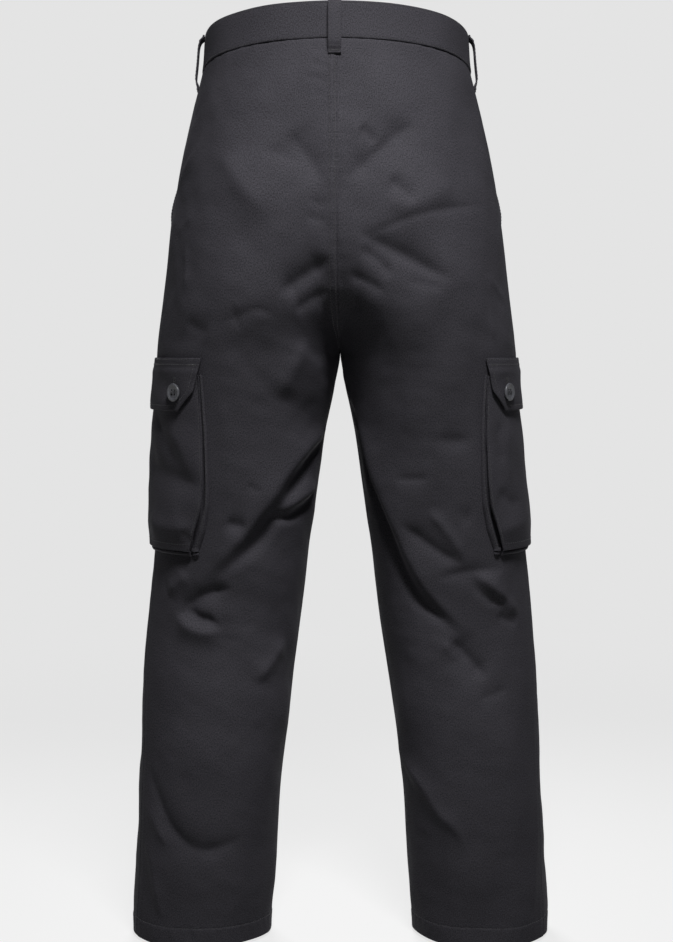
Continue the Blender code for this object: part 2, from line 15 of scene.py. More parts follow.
import bmesh
import bpy
import numpy as np
from mathutils import Matrix, Vector


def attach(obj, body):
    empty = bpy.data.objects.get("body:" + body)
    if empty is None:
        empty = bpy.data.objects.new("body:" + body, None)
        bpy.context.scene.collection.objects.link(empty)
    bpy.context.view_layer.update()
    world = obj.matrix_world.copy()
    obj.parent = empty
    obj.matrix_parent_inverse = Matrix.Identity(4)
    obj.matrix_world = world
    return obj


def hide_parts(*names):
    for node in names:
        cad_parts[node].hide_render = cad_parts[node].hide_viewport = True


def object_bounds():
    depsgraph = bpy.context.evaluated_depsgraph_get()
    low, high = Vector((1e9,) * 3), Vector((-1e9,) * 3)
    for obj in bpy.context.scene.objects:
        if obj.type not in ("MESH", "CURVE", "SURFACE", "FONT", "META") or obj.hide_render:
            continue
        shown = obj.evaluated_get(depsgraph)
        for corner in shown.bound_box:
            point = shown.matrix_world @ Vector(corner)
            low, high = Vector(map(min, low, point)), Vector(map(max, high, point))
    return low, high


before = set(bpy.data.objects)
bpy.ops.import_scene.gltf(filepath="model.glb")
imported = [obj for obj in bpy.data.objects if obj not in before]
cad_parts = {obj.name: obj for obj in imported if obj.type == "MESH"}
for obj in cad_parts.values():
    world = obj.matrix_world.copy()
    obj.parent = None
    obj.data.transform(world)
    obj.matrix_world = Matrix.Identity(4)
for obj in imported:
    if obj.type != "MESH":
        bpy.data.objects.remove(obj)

cad_low, cad_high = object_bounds()
MM = 0.001
print("frame:", len(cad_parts), "nodes,", [round(v, 3) for v in cad_high - cad_low], "m")

# %% [markdown]
# ## Camera, floor and light
#
# The trousers are looked at squarely from behind, from a little under the seat, with a short
# tele lens. A lens of that kind keeps the legs parallel, where a wide one would spread them.

# %% Camera
EYE = (0.0, 2.05, -0.342)
PITCH = 3.78
FOCAL = 67.07


def make_camera():
    data = bpy.data.cameras.new("camera")
    data.lens = FOCAL
    camera = bpy.data.objects.new("camera", data)
    camera.location = EYE
    camera.rotation_euler = (np.radians(90 - PITCH), 0.0, np.pi)
    bpy.context.scene.collection.objects.link(camera)
    bpy.context.scene.camera = camera


make_camera()
print("camera at", EYE, "pitched down by", PITCH, "degrees")

# %% [markdown]
# Colours are written as the hex values a colour picker shows. Blender works in linear light, so
# one function turns them. A second small function adds a node to a tree with its settings and
# links, which keeps each material short enough to read at a glance.

# %% Colour and node helpers
def linear(text, gain=1.0):
    """An sRGB hex colour as linear RGBA."""
    values = np.array([int(text[i:i + 2], 16) for i in (1, 3, 5)]) / 255
    low = values / 12.92
    high = ((values + 0.055) / 1.055) ** 2.4
    return (*(np.where(values <= 0.04045, low, high) * gain), 1.0)


def add(tree, kind, settings=None, **inputs):
    """A node of that kind. An input is a socket to link from, or a value; a key such as i2 is the
    input's number, for nodes that have several inputs of one name."""
    node = tree.nodes.new(kind)
    for name, value in (settings or {}).items():
        setattr(node, name, value)
    for key, value in inputs.items():
        numbered = key[0] == "i" and key[1:].isdigit()
        socket = node.inputs[int(key[1:])] if numbered else node.inputs[key.replace("_", " ")]
        if isinstance(value, bpy.types.NodeSocket):
            tree.links.new(value, socket)
        else:
            socket.default_value = value
    return node


# %% [markdown]
# The studio is a pale floor that fades into a pale surround. Rays from the camera see the bright
# surround, while the cloth gets only a trace of its light: that is how a dark garment keeps its
# depth in front of a white wall. Near the trousers the floor takes their shadow; further out it
# glows like the surround, so that no horizon shows.

# %% Surround and floor
PALE = "#E4E4E4"
FLOOR_SHADE = "#DFDFDF"      # the floor in full shadow
FLOOR_SHARE = 0.24           # how much of the light on it the floor gives back
FLOOR_BELOW = 4 * MM         # under the hems
FILL = 0.02                  # how strongly the surround lights the cloth


def make_surround():
    world = bpy.data.worlds.new("studio")
    bpy.context.scene.world = world
    world.use_nodes = True
    tree = world.node_tree
    tree.nodes.clear()
    seen = add(tree, "ShaderNodeBackground", Color=linear(PALE), Strength=1.0)
    lit = add(tree, "ShaderNodeBackground", Color=linear("#F1F4FA"), Strength=FILL)
    path = add(tree, "ShaderNodeLightPath")
    mix = add(tree, "ShaderNodeMixShader", i0=path.outputs["Is Camera Ray"],
              i1=lit.outputs[0], i2=seen.outputs[0])
    add(tree, "ShaderNodeOutputWorld", Surface=mix.outputs[0])
    bpy.context.scene.view_settings.view_transform = "Standard"


def make_floor():
    bpy.ops.mesh.primitive_circle_add(vertices=96, radius=40, fill_type="NGON")
    floor = bpy.context.object
    floor.name = "floor"
    floor.location.z = cad_low.z - FLOOR_BELOW
    floor.visible_diffuse = False
    material = bpy.data.materials.new("floor")
    material.use_nodes = True
    tree = material.node_tree
    tree.nodes.clear()
    place = add(tree, "ShaderNodeTexCoord")
    distance = add(tree, "ShaderNodeVectorMath", {"operation": "LENGTH"},
                   i0=place.outputs["Object"])
    far = add(tree, "ShaderNodeMapRange", {"interpolation_type": "SMOOTHSTEP"},
              Value=distance.outputs["Value"], From_Min=0.5, From_Max=2.2)
    lit = add(tree, "ShaderNodeBsdfDiffuse", Color=linear(PALE, FLOOR_SHARE))
    base = add(tree, "ShaderNodeEmission", Color=linear(FLOOR_SHADE), Strength=1.0)
    near = add(tree, "ShaderNodeAddShader", i0=lit.outputs[0], i1=base.outputs[0])
    glow = add(tree, "ShaderNodeEmission", Color=linear(PALE), Strength=1.0)
    mix = add(tree, "ShaderNodeMixShader", i0=far.outputs[0], i1=near.outputs[0],
              i2=glow.outputs[0])
    add(tree, "ShaderNodeOutputMaterial", Surface=mix.outputs[0])
    floor.data.materials.append(material)


make_surround()
make_floor()

# %% [markdown]
# One soft box hangs high on the back's side and one on the front's, both aimed at the thighs.
# Their light comes down steeply, so that a shallow fold still shows, and the narrow spread keeps
# the seat from getting much more of it than the legs.

# %% Soft boxes
SOFT_BOXES = (               # place, aim, width and height in metres, watts, spread in degrees
    ((-0.17, 1.13, 1.10), (0.0, 0.1, -0.5), (0.5, 0.25), 4.95, 75),
    ((0.2, -1.2, 1.15), (0.0, -0.1, -0.5), (0.5, 0.25), 5.2, 75),
)


def make_lights():
    for place, aim, size, watts, spread in SOFT_BOXES:
        data = bpy.data.lights.new("soft_box", "AREA")
        data.shape = "RECTANGLE"
        data.size, data.size_y = size
        data.energy = watts
        data.spread = np.radians(spread)
        light = bpy.data.objects.new("soft_box", data)
        light.location = place
        light.rotation_euler = (Vector(aim) - Vector(place)).to_track_quat("-Z", "Y").to_euler()
        bpy.context.scene.collection.objects.link(light)


make_lights()
print("soft boxes:", len(SOFT_BOXES))

# %% [markdown]
# ## The skin
#
# A level h is a height at the middle of the trousers, and s is the distance round the cloth from
# the side seam, positive towards the back. A short table gives the trousers' size at some levels,
# and between them a smooth curve. Above the crotch a section is two ovals that melt together;
# below it each leg has its own. This is the same rule as in the construction, only asked for many
# more points.

# %% Sizes of the trousers
SEAM = 0.3 * MM
REST = 0.6 * MM
CLOTH = 1.5 * MM
BAND_TOP = 21 * MM
BAND_BOTTOM = -21 * MM
BAND_PROUD = 1.0 * MM
BAND_WALL = 2.6 * MM
PANEL_TOP = BAND_BOTTOM - SEAM
CROTCH = -342 * MM
HEM = -1019 * MM
WAIST_TILT = 0.19
RISE_CURVE = 150 * MM
SEAT_FILL = 1.2
LEG_SWAY = -4.5 * MM
OVAL_BACK = 2.05
OVAL_FRONT = 2.2

SECTION_COLUMNS = ("level", "outer", "inner", "back", "front", "seam_angle")
SECTIONS = np.array([
    (30, 149, 0, 111, -107, 0),
    (21, 150, 0, 112, -108, 0),
    (-21, 153.5, 0, 117, -112, 0),
    (-48, 160, 0, 123, -116, 1),
    (-94, 170.5, 0, 134, -120, 3),
    (-140, 180, 0, 144, -123, 4),
    (-220, 192, 0, 152, -124, 6),
    (-290, 200.5, 0, 143, -119, 9),
    (-342, 207.5, 0, 127, -114, 10),
    (-380, 209, 7, 117, -113, 11),
    (-430, 210.5, 17, 106, -111, 12),
    (-500, 213, 27, 95, -105, 13),
    (-560, 217, 36, 83, -100, 13),
    (-606, 222, 41, 75, -98, 14),
    (-653, 227, 47, 71, -96, 15),
    (-701, 231, 54, 73, -92, 17),
    (-748, 233, 60, 78, -87, 20),
    (-844, 237, 72, 83, -80, 24),
    (-941, 242, 78, 82, -78, 26),
    (-1019, 246, 84, 80, -78, 27),
    (-1030, 246, 84, 80, -78, 27),
], dtype=float)


def step(value, low, high):
    """0 up to low, 1 from high, and a smooth rise between."""
    t = np.clip((value - low) / (high - low), 0.0, 1.0)
    return t * t * (3.0 - 2.0 * t)


def column(name, h):
    """One column of SECTIONS at levels h, in metres or degrees, on a smooth curve."""
    levels = SECTIONS[::-1, 0] * MM
    values = SECTIONS[::-1, SECTION_COLUMNS.index(name)]
    slopes = np.gradient(values, levels)
    i = np.clip(np.searchsorted(levels, h) - 1, 0, len(levels) - 2)
    span = levels[i + 1] - levels[i]
    t = (h - levels[i]) / span
    a = (1 + 2 * t) * (1 - t) ** 2 * values[i] + t * (1 - t) ** 2 * span * slopes[i]
    b = t * t * (3 - 2 * t) * values[i + 1] + t * t * (t - 1) * span * slopes[i + 1]
    return (a + b) * (1.0 if name == "seam_angle" else MM)


# %% [markdown]
# `outlines` finds the half sections of many levels at once. From the leg's axis it looks outwards
# in 241 directions and closes in on the oval's edge by halving, which needs no formula for the
# melted shape. The result is kept, because four panels and every row of stitches ask again.

# %% Half sections
RAYS = 121
HALVINGS = 27
REACH = 0.4


@lru_cache(maxsize=64)
def outlines(levels):
    """For each level: distances s, x, y and the outward direction along half of the section, from
    the inner front round the side to the inner back."""
    h = np.array(levels)[:, None]
    outer, back, front = (column(name, h) for name in ("outer", "back", "front"))
    middle = (back + front) / 2
    depth = (back - front) / 2
    above = h - CROTCH
    joined = above >= 0
    rise = np.maximum(above, 0)
    ratio = np.exp(-rise / RISE_CURVE * (0.3 + 0.7 * step(above, 0, 70 * MM)))
    inner = np.maximum(column("inner", h), SEAM / 2)
    centre = np.where(joined, outer * ratio / (1 + ratio), (outer + inner) / 2)
    half = np.where(joined, outer / (1 + ratio), (outer - inner) / 2)
    fill = np.maximum(SEAT_FILL * ratio * (1 - ratio), 1e-6)

    def oval(x, y, cx):
        power = np.where(y > middle, OVAL_BACK, OVAL_FRONT)
        u = np.abs(x - cx) / half
        v = np.abs(y - middle) / depth
        return (u ** power + v ** power) ** (1 / power) - 1

    def form(x, y):
        f = oval(x, y, centre)
        g = np.where(joined, oval(x, y, -centre), 9.0)
        near = np.maximum(fill - np.abs(f - g), 0)
        return np.minimum(f, g) - near * near / (4 * fill)

    def cross(x0, dx, dy):
        low = np.zeros(np.broadcast(x0, dx).shape)
        high = np.where(dx < 0, np.minimum(x0 / np.maximum(-dx, 1e-9), REACH), REACH)
        for _ in range(HALVINGS):
            mid = (low + high) / 2
            inside = form(x0 + mid * dx, middle + mid * dy) < 0
            low, high = np.where(inside, mid, low), np.where(inside, high, mid)
        return low

    reach = cross(0.0 * centre, np.zeros((1, 2)), np.array([[1.0, -1.0]]))
    turn = np.radians(6) * step(-above, 0, 60 * MM)
    first = np.where(joined, np.arctan2(reach[:, :1], -centre), np.pi + turn)
    last = np.where(joined, -np.arctan2(reach[:, 1:], -centre), -np.pi + turn)
    side = np.radians(column("seam_angle", h))
    t = np.linspace(0, 1, RAYS)
    angles = np.concatenate([first + (side - first) * t, (side + (last - side) * t)[:, 1:]], axis=1)
    radius = cross(centre, np.cos(angles), np.sin(angles))
    x = np.maximum(centre + radius * np.cos(angles), 0.0)
    y = middle + radius * np.sin(angles)
    run = np.cumsum(np.hypot(np.diff(x, axis=1, prepend=x[:, :1]),
                             np.diff(y, axis=1, prepend=y[:, :1])), axis=1)
    s = run[:, RAYS - 1:RAYS] - run
    normal_x, normal_y = -np.gradient(y, axis=1), np.gradient(x, axis=1)
    size = np.hypot(normal_x, normal_y)
    return [a[:, ::-1] for a in (s, x, y, normal_x / size, normal_y / size)]


def ends(h):
    """Distances s of the front's and the back's inner edge at levels h."""
    s = outlines(tuple(np.round(h, 7)))[0]
    return s[:, 0], s[:, -1]


print("half girth at the hips:", round(float(np.subtract(*ends([-0.22])[::-1])[0]), 3), "m")

# %% [markdown]
# ## Folds
#
# Each main fold is one row: a path on the cloth, how wide and how high its ridge is, and how deep
# the valley is that runs along one side of it. A ridge with a valley on one side reads as cloth
# pushed over itself, which an even bump never does. Paths get their corners cut off three times,
# and both ends of a fold die away.

# %% Fold tables
FOLD_FADE = 6 * MM           # folds die away this close to the seat seam
LEG_FADE = 30 * MM           # and this close to the inseam
FOLD_DEEP = 22 * MM          # folds that add up never go deeper or higher than this
CUTS = 3
TAPER = 0.3
CREST = 0.3                  # how round a ridge is on top, as a share of its width
STEEP = 0.6                  # a ridge falls faster on its valley's side
GENTLE = 1.5                 # than on its other side

# width, lift, dip in mm, then the path as (s, h) in mm. The valley lies on the right of the path
# where dip is positive, and on the left where it is negative.
FOLDS_LEFT = (
    # seat
    (20, 5.0, 0.0, ((112, -138), (150, -175), (190, -212))),
    (15, -6.4, 0.0, ((185, -121), (214, -146), (241, -176))),
    (9, -2.6, 0.0, ((162, -140), (188, -144), (210, -157))),
    (13, -8.0, 0.0, ((196, -280), (226, -262), (256, -244))),
    (9, -4.2, 0.0, ((213, -297), (236, -284), (256, -273))),
    (5, -1.8, 0.0, ((132, -310), (162, -298), (176, -293), (197, -302))),
    (5, -1.4, 0.0, ((148, -287), (150, -300), (158, -317))),
    (12, -2.6, 0.0, ((87, -306), (121, -320))),
    (6, 1.5, 0.0, ((87, -114), (48, -142), (13, -161))),
    (6, 1.3, 0.0, ((86, -197), (49, -213))),
    (6, 1.5, 0.0, ((76, -225), (84, -278))),
    # puckers that the seat seam's stitching draws in
    (4.5, -1.5, 0.0, ((212, -14), (199, -11), (182, -8))),
    (4.5, -1.1, 0.0, ((215, -25), (205, -22), (195, -19))),
    (4.5, -1.6, 0.0, ((218, -38), (202, -35), (187, -31))),
    (4.5, -1.0, 0.0, ((219, -47), (211, -45), (202, -42))),
    (4.5, -1.5, 0.0, ((221, -56), (207, -53), (194, -49))),
    (4.5, -1.6, 0.0, ((223, -71), (207, -68), (190, -64))),
    (4.5, -1.1, 0.0, ((226, -88), (215, -85), (203, -82))),
    (4.5, -1.3, 0.0, ((246, -196), (234, -193), (223, -190))),
    (4.5, -1.4, 0.0, ((249, -211), (236, -208), (222, -204))),
    # thigh and knee, back
    (17, 6.0, 0.0, ((236, -322), (210, -358), (187, -393))),
    (17, 8.0, -6.6, ((312, -420), (270, -434), (228, -446), (193, -476), (173, -502),
                     (149, -534), (122, -565), (89, -597))),
    (13, 6.6, -5.4, ((262, -490), (226, -502), (168, -522))),
    (10, -4.6, 0.0, ((120, -530), (146, -535))),
    (7, -2.4, 0.0, ((147, -486), (165, -497))),
    (7, -2.0, 0.0, ((110, -494), (121, -527))),
    (12, -8.6, 0.0, ((58, -642), (80, -622), (100, -611), (130, -606))),
    (12, 6.8, -5.4, ((58, -640), (90, -658), (118, -655))),
    (12, 4.4, 0.0, ((41, -614), (78, -590))),
    (5, -0.8, 0.0, ((138, -650), (158, -648))),
    (5, -0.8, 0.0, ((112, -664), (143, -667))),
    (14, 6.4, 0.0, ((152, -717), (182, -688), (200, -668))),
    (13, -5.6, 0.0, ((4, -802), (25, -834), (49, -879), (76, -904), (95, -908), (120, -901),
                     (150, -887))),
    (8, 3.2, 0.0, ((1, -855), (26, -872), (42, -894), (52, -906))),
    (11, 4.8, 0.0, ((1, -894), (24, -918), (30, -941), (39, -973), (47, -993))),
    # front
    (14, 4.2, 3.0, ((-352, -318), (-280, -286), (-215, -262))),
    (10, -1.6, 0.0, ((-300, -250), (-250, -226), (-205, -214))),
    (16, 6.0, 4.6, ((-335, -398), (-262, -440), (-180, -492))),
    (9, 1.6, 0.0, ((-300, -350), (-240, -366), (-190, -360))),
    (16, 5.2, -4.6, ((-118, -600), (-190, -618), (-262, -655))),
    (8, -1.8, 0.0, ((-140, -650), (-186, -660), (-214, -690))),
    (15, 4.4, 3.0, ((-90, -700), (-150, -728), (-220, -742))),
    (7, -1.2, 0.0, ((-110, -545), (-160, -560), (-200, -552))),
    (13, 3.6, 0.0, ((-55, -850), (-120, -868), (-190, -905))),
    (11, -2.4, 0.0, ((-60, -930), (-90, -960), (-96, -1000))),
)
FOLDS_RIGHT = (
    # seat
    (18, 4.5, 0.0, ((206, -196), (160, -192), (116, -168))),
    (15, -8.6, 0.0, ((246, -173), (200, -143), (166, -119), (147, -111))),
    (9, -4.0, 0.0, ((216, -118), (200, -134))),
    (10, -4.6, 0.0, ((197, -167), (168, -193))),
    (4.5, -2.2, 0.0, ((244, -227), (225, -222), (198, -213), (165, -202), (119, -193),
                      (64, -186))),
    (12, -8.2, 0.0, ((238, -220), (184, -243), (130, -267))),
    (8, -4.0, 0.0, ((238, -234), (215, -246), (197, -265))),
    (6, -3.2, 0.0, ((252, -259), (231, -265), (207, -279))),
    (6, -2.0, 0.0, ((189, -265), (140, -274))),
    (5, -2.2, 0.0, ((252, -285), (240, -298))),
    (6, 1.5, 0.0, ((72, -107), (39, -138), (47, -201), (43, -213), (58, -246))),
    (6, 1.5, 0.0, ((85, -255), (28, -286))),
    (6, 1.3, 0.0, ((80, -289), (79, -329))),
    # thigh and knee, back
    (17, 9.2, -8.0, ((297, -384), (248, -431), (221, -486), (193, -530), (166, -584),
                     (142, -619), (117, -645), (100, -664))),
    (14, -3.4, 0.0, ((150, -436), (90, -437))),
    (10, -2.8, 0.0, ((116, -538), (80, -490))),
    (5, -1.8, 0.0, ((196, -481), (149, -480))),
    (10, -5.6, 0.0, ((186, -529), (142, -563), (107, -580))),
    (8, 3.8, 0.0, ((154, -512), (121, -551), (107, -578))),
    (9, -3.2, 0.0, ((143, -595), (102, -585), (56, -584))),
    (11, 4.8, -2.8, ((98, -588), (76, -606), (57, -624))),
    (12, 5.6, 0.0, ((92, -586), (68, -613), (33, -644))),
    (7, -3.0, 0.0, ((72, -639), (38, -651))),
    (7, 2.6, 0.0, ((135, -667), (117, -690))),
    (13, -8.2, 0.0, ((129, -663), (104, -688), (82, -713))),
    (8, -2.6, 0.0, ((96, -734), (56, -723))),
    (13, 6.0, 0.0, ((210, -809), (176, -825), (156, -841), (142, -864), (118, -880),
                    (107, -909))),
    (10, 5.0, 0.0, ((5, -868), (19, -970), (22, -992))),
    # front
    (14, 4.2, 3.0, ((-356, -322), (-290, -292), (-225, -276))),
    (10, -1.6, 0.0, ((-305, -246), (-262, -238), (-214, -246))),
    (16, 5.2, 4.4, ((-330, -410), (-240, -452), (-150, -470))),
    (9, 1.6, 0.0, ((-310, -362), (-250, -352), (-205, -372))),
    (16, 5.2, 4.4, ((-240, -575), (-170, -592), (-100, -632))),
    (8, -1.6, 0.0, ((-230, -622), (-180, -640), (-140, -672))),
    (15, 4.4, -3.0, ((-225, -680), (-166, -696), (-110, -724))),
    (13, 3.6, 0.0, ((-200, -820), (-140, -838), (-80, -880))),
    (12, 3.6, 0.0, ((-60, -930), (-105, -956), (-150, -985))),
)


def rounded(path):
    """The path in metres, with its corners cut until it is a smooth curve."""
    points = np.array(path, float) * MM
    for _ in range(CUTS if len(path) > 2 else 0):
        a, b = points[:-1], points[1:]
        cut = np.stack([0.75 * a + 0.25 * b, 0.25 * a + 0.75 * b], axis=1).reshape(-1, 2)
        points = np.concatenate([points[:1], cut, points[-1:]])
    return points


def nearest(points, x, y):
    """Distance from each (x, y) to a path, positive on its left, and the share of the path's
    length at the nearest place."""
    start, run = points[:-1], np.diff(points, axis=0)
    length = np.hypot(*run.T)
    x = x[:, None] - start[:, 0]
    y = y[:, None] - start[:, 1]
    t = np.clip((x * run[:, 0] + y * run[:, 1]) / length ** 2, 0, 1)
    gap = np.hypot(x - t * run[:, 0], y - t * run[:, 1])
    pick = (np.arange(len(gap)), gap.argmin(axis=1))
    left = np.where(run[:, 0] * y - run[:, 1] * x < 0, -1.0, 1.0)[pick]
    along = (np.cumsum(length) - length + t * length)[pick] / length.sum()
    return left * gap[pick], along


def fold_height(fold, h, s):
    """How far one fold lifts the cloth at (h, s)."""
    width, lift, dip, path = fold
    points = rounded(path)
    reach = 4.5 * width * MM
    low, high = points.min(axis=0) - reach, points.max(axis=0) + reach
    box = (s > low[0]) & (s < high[0]) & (h > low[1]) & (h < high[1])
    total = np.zeros(s.shape)
    if not box.any():
        return total
    distance, along = nearest(points, s[box], h[box])
    fade = step(along, 0, TAPER) * step(1 - along, 0, TAPER)
    q = distance / (width * MM * (0.5 + 0.5 * fade))
    low_side = q * np.sign(dip) < 0
    valley = abs(dip) * np.exp(-((q + 1.1 * np.sign(dip)) / 0.55) ** 2)
    if dip:
        q = np.where(low_side, q / STEEP, q / GENTLE)
    ridge = lift * np.exp(-1.5 * (np.sqrt(q * q + CREST ** 2) - CREST))
    total[box] = (ridge - valley) * MM * fade
    return total


print("main folds:", len(FOLDS_LEFT) + len(FOLDS_RIGHT))

# %% [markdown]
# Between its folds cloth is never quite flat either. `ripple` adds long soft waves and a finer
# crumple as sums of waves of random direction. The random numbers have a fixed seed, so each run
# gives the same trousers.

# %% Soft waves
SOFT_WAVES = (16, (55 * MM, 150 * MM), 0.9 * MM)     # how many, shortest and longest, height
CRUMPLE = (30, (16 * MM, 42 * MM), 0.16 * MM)


def ripple(seed, count, wavelengths, size, h, s):
    """A sum of waves of random length and direction, about size high."""
    chance = np.random.default_rng(seed)
    total = 0.0 * s
    for _ in range(count):
        wave = chance.uniform(*wavelengths)
        turn, phase = chance.uniform(0, 2 * np.pi, 2)
        total += np.sin(2 * np.pi / wave * (s * np.cos(turn) + h * np.sin(turn)) + phase)
    return size * total / np.sqrt(count / 2)


# %% [markdown]
# Sewing shows in relief: a seam is a groove, the folded allowances under it make one side a
# little proud, a row of top stitching pulls the cloth in, and the tension of the thread gathers
# short puckers beside it. The seat seam is felled: its allowances are folded into a flat strip
# that lies to the left and is held by two rows.

# %% Sewn relief
FELL_WIDTH = 9 * MM
FELL_ROWS = (2 * MM, 7.7 * MM)
HEM_ROW = 21 * MM
HEM_PROUD = 0.45 * MM
PUCKER = 15 * MM             # from one pucker of the seat seam to the next
PUCKER_REACH = 15 * MM
PUCKER_HIGH = 0.45 * MM
ALLOWANCE = 11 * MM          # the side seam's allowances, pressed towards the back
ALLOWANCE_PROUD = 0.3 * MM
FELL_PROUD = 0.55 * MM


def groove(distance, depth, width):
    return -depth * MM * np.exp(-(distance / (width * MM)) ** 2)


def sewn_relief(side, h, s, inner):
    """Relief of the seams at (h, s). inner is the distance to the panel's inner edge."""
    total = groove(s, 0.8, 1.0)
    total += ALLOWANCE_PROUD * step(s, 0.3 * MM, 1.5 * MM) * step(ALLOWANCE - s, 0, 2.5 * MM)
    total += groove(inner, 0.8, 1.1)
    seat = (s > 0) * step(h, CROTCH - 6 * MM, CROTCH + 12 * MM)
    if side > 0:
        total += seat * FELL_PROUD * step(FELL_WIDTH - inner, 0, 1.0 * MM)
    rows = sum(groove(inner - row, 0.3, 0.8) for row in FELL_ROWS)
    total += seat * (side > 0) * rows
    wave = h / PUCKER + 0.35 * np.sin(h / (23 * MM)) + 0.2 * np.sin(h / (9 * MM) + 1.0)
    gather = np.maximum(np.sin(2 * np.pi * wave), -0.2) * np.exp(-(inner / PUCKER_REACH) ** 2)
    total += seat * PUCKER_HIGH * gather * step(inner, 0.5 * MM, 3 * MM)
    edge = h - HEM
    total += HEM_PROUD * step(HEM_ROW + 0.5 * MM - edge, 0, 1.2 * MM)
    total += groove(edge - HEM_ROW, 0.35, 0.9)
    hem_wave = np.sin(2 * np.pi * (s + 0.4 * edge) / (13 * MM) + 2.0 * np.sin(s / (31 * MM)))
    total += 0.22 * MM * hem_wave * np.exp(-((edge - HEM_ROW + 4 * MM) / (9 * MM)) ** 2)
    total += groove(PANEL_TOP - h, 0.7, 1.6)
    band_wave = np.sin(2 * np.pi * s / (17 * MM) + 2.5 * np.sin(s / (37 * MM)))
    return total + 0.2 * MM * band_wave * np.exp(-((PANEL_TOP - h) / (14 * MM)) ** 2)


# %% [markdown]
# The leg gives way under the cargo pockets, so that a pocket lies in a shallow hollow and folds
# stop where it is sewn on. With that, `skin` gives points of the cloth, and `facing` also the
# direction that points out of it, found from the neighbouring points.

# %% The cloth's surface
POCKET_TOP = -364 * MM
POCKET_BOTTOM = -563 * MM
POCKET_TURN = 8 * MM
POCKET_SINK = 6 * MM
FLAP_TOP = -345 * MM
POCKET_EDGES = np.array([    # level, half width of the face, half width of the gusset's foot
    (-364, 97, 101),
    (-430, 97, 101),
    (-480, 94, 98),
    (-510, 90, 96),
    (-540, 80, 89),
    (-563, 72, 80),
    (-568, 72, 80),
]) * MM


def half_width(edges, h, part=1):
    return np.interp(-h, -edges[:, 0], edges[:, part])


def relief(side, h, s):
    """How far the cloth at (h, s) stands out from the smooth form."""
    h = np.broadcast_to(h, s.shape)
    front, back = ends(h[:, 0])
    inner = np.where(s > 0, back[:, None] - s, s - front[:, None])
    total = ripple(3 + side, *SOFT_WAVES, h, s)
    total += ripple(7 + side, *CRUMPLE, h, s)
    for fold in FOLDS_LEFT if side > 0 else FOLDS_RIGHT:
        total += fold_height(fold, h, s)
    across = np.abs(s - side * POCKET_TURN)
    held = step(half_width(POCKET_EDGES, h, 2) + 28 * MM - across, 0, 22 * MM)
    held *= step(h, POCKET_BOTTOM - 32 * MM, POCKET_BOTTOM - 10 * MM)
    held *= step(-h, -FLAP_TOP - 24 * MM, -FLAP_TOP - 4 * MM)
    pocket = step(half_width(POCKET_EDGES, h) - across, 0, 30 * MM)
    pocket *= step(h, POCKET_BOTTOM, POCKET_BOTTOM + 25 * MM)
    pocket *= step(-h, -POCKET_TOP - 16 * MM, -POCKET_TOP + 4 * MM)
    total = FOLD_DEEP * np.tanh(total / FOLD_DEEP)
    fade = FOLD_FADE + (LEG_FADE - FOLD_FADE) * step(CROTCH - h, -30 * MM, 40 * MM)
    total *= step(inner / fade, 0, 1) * (1 - held) * step(PANEL_TOP - h, -2 * MM, 30 * MM)
    total *= 0.25 + 0.75 * step(np.abs(s), 6 * MM, 45 * MM)
    return total - POCKET_SINK * pocket + sewn_relief(side, h, s, inner)


def tilt(h):
    """How steeply level h rises towards the back."""
    return WAIST_TILT * step(h, CROTCH, -40 * MM)


def sway(h, x):
    """Sideways shift of the legs at level h, for a point x from the middle plane."""
    share = np.clip(x / column("outer", h), 0, 1)
    inside = step(-h, 240 * MM, 350 * MM) + 0.6 * step(-h, 660 * MM, 800 * MM)
    outside = step(-h, 400 * MM, 590 * MM)
    return LEG_SWAY * (inside + (outside - inside) * share)


def skin(side, h, s, smooth=False):
    """Points at levels h and, for each level, a row of distances s. A smooth skin leaves out all
    relief."""
    lines = outlines(tuple(np.round(h, 7)))
    s = np.clip(s, lines[0][:, :1], lines[0][:, -1:])
    x, y, nx, ny = (np.array([np.interp(row, at, line) for row, at, line
                              in zip(s, lines[0], values)]) for values in lines[1:])
    h = np.asarray(h)[:, None]
    out = 0.0 if smooth else relief(side, h, s)
    x = np.maximum(x + out * nx * step(x, 0.2 * MM, 6 * MM), 0.0)
    y = y + out * ny
    return np.stack([side * x + sway(h, x), y, h + tilt(h) * y], axis=-1)


def facing(side, h, s, smooth=False):
    """Points of the skin and the directions that point out of the cloth there."""
    tiny = 1 * MM
    h = np.asarray(h, float)
    s = np.asarray(s, float)
    here = skin(side, h, s, smooth)
    down = skin(side, np.maximum(h - tiny, HEM - 8 * MM), s, smooth)
    up = skin(side, h + tiny, s, smooth)
    front, back = ends(h + tiny)
    inside = (s <= back[:, None]) & (s >= front[:, None])
    up = np.where(inside[..., None], up, here)
    around = skin(side, h, s + tiny, smooth) - skin(side, h, s - tiny, smooth)
    out = np.cross(around, up - down) * side
    return here, out / np.linalg.norm(out, axis=-1, keepdims=True)


# %% [markdown]
# ## From grids to shells
#
# Every cloth piece is two grids of points, its outside and its inside, joined round their edges.
# `shell` writes the vertices, faces and the UV map with a few calls of foreach_set, which takes
# a fraction of a second where a loop over faces would take minutes. The UV map holds distances on
# the cloth in metres, so that a weave keeps its size on every piece.

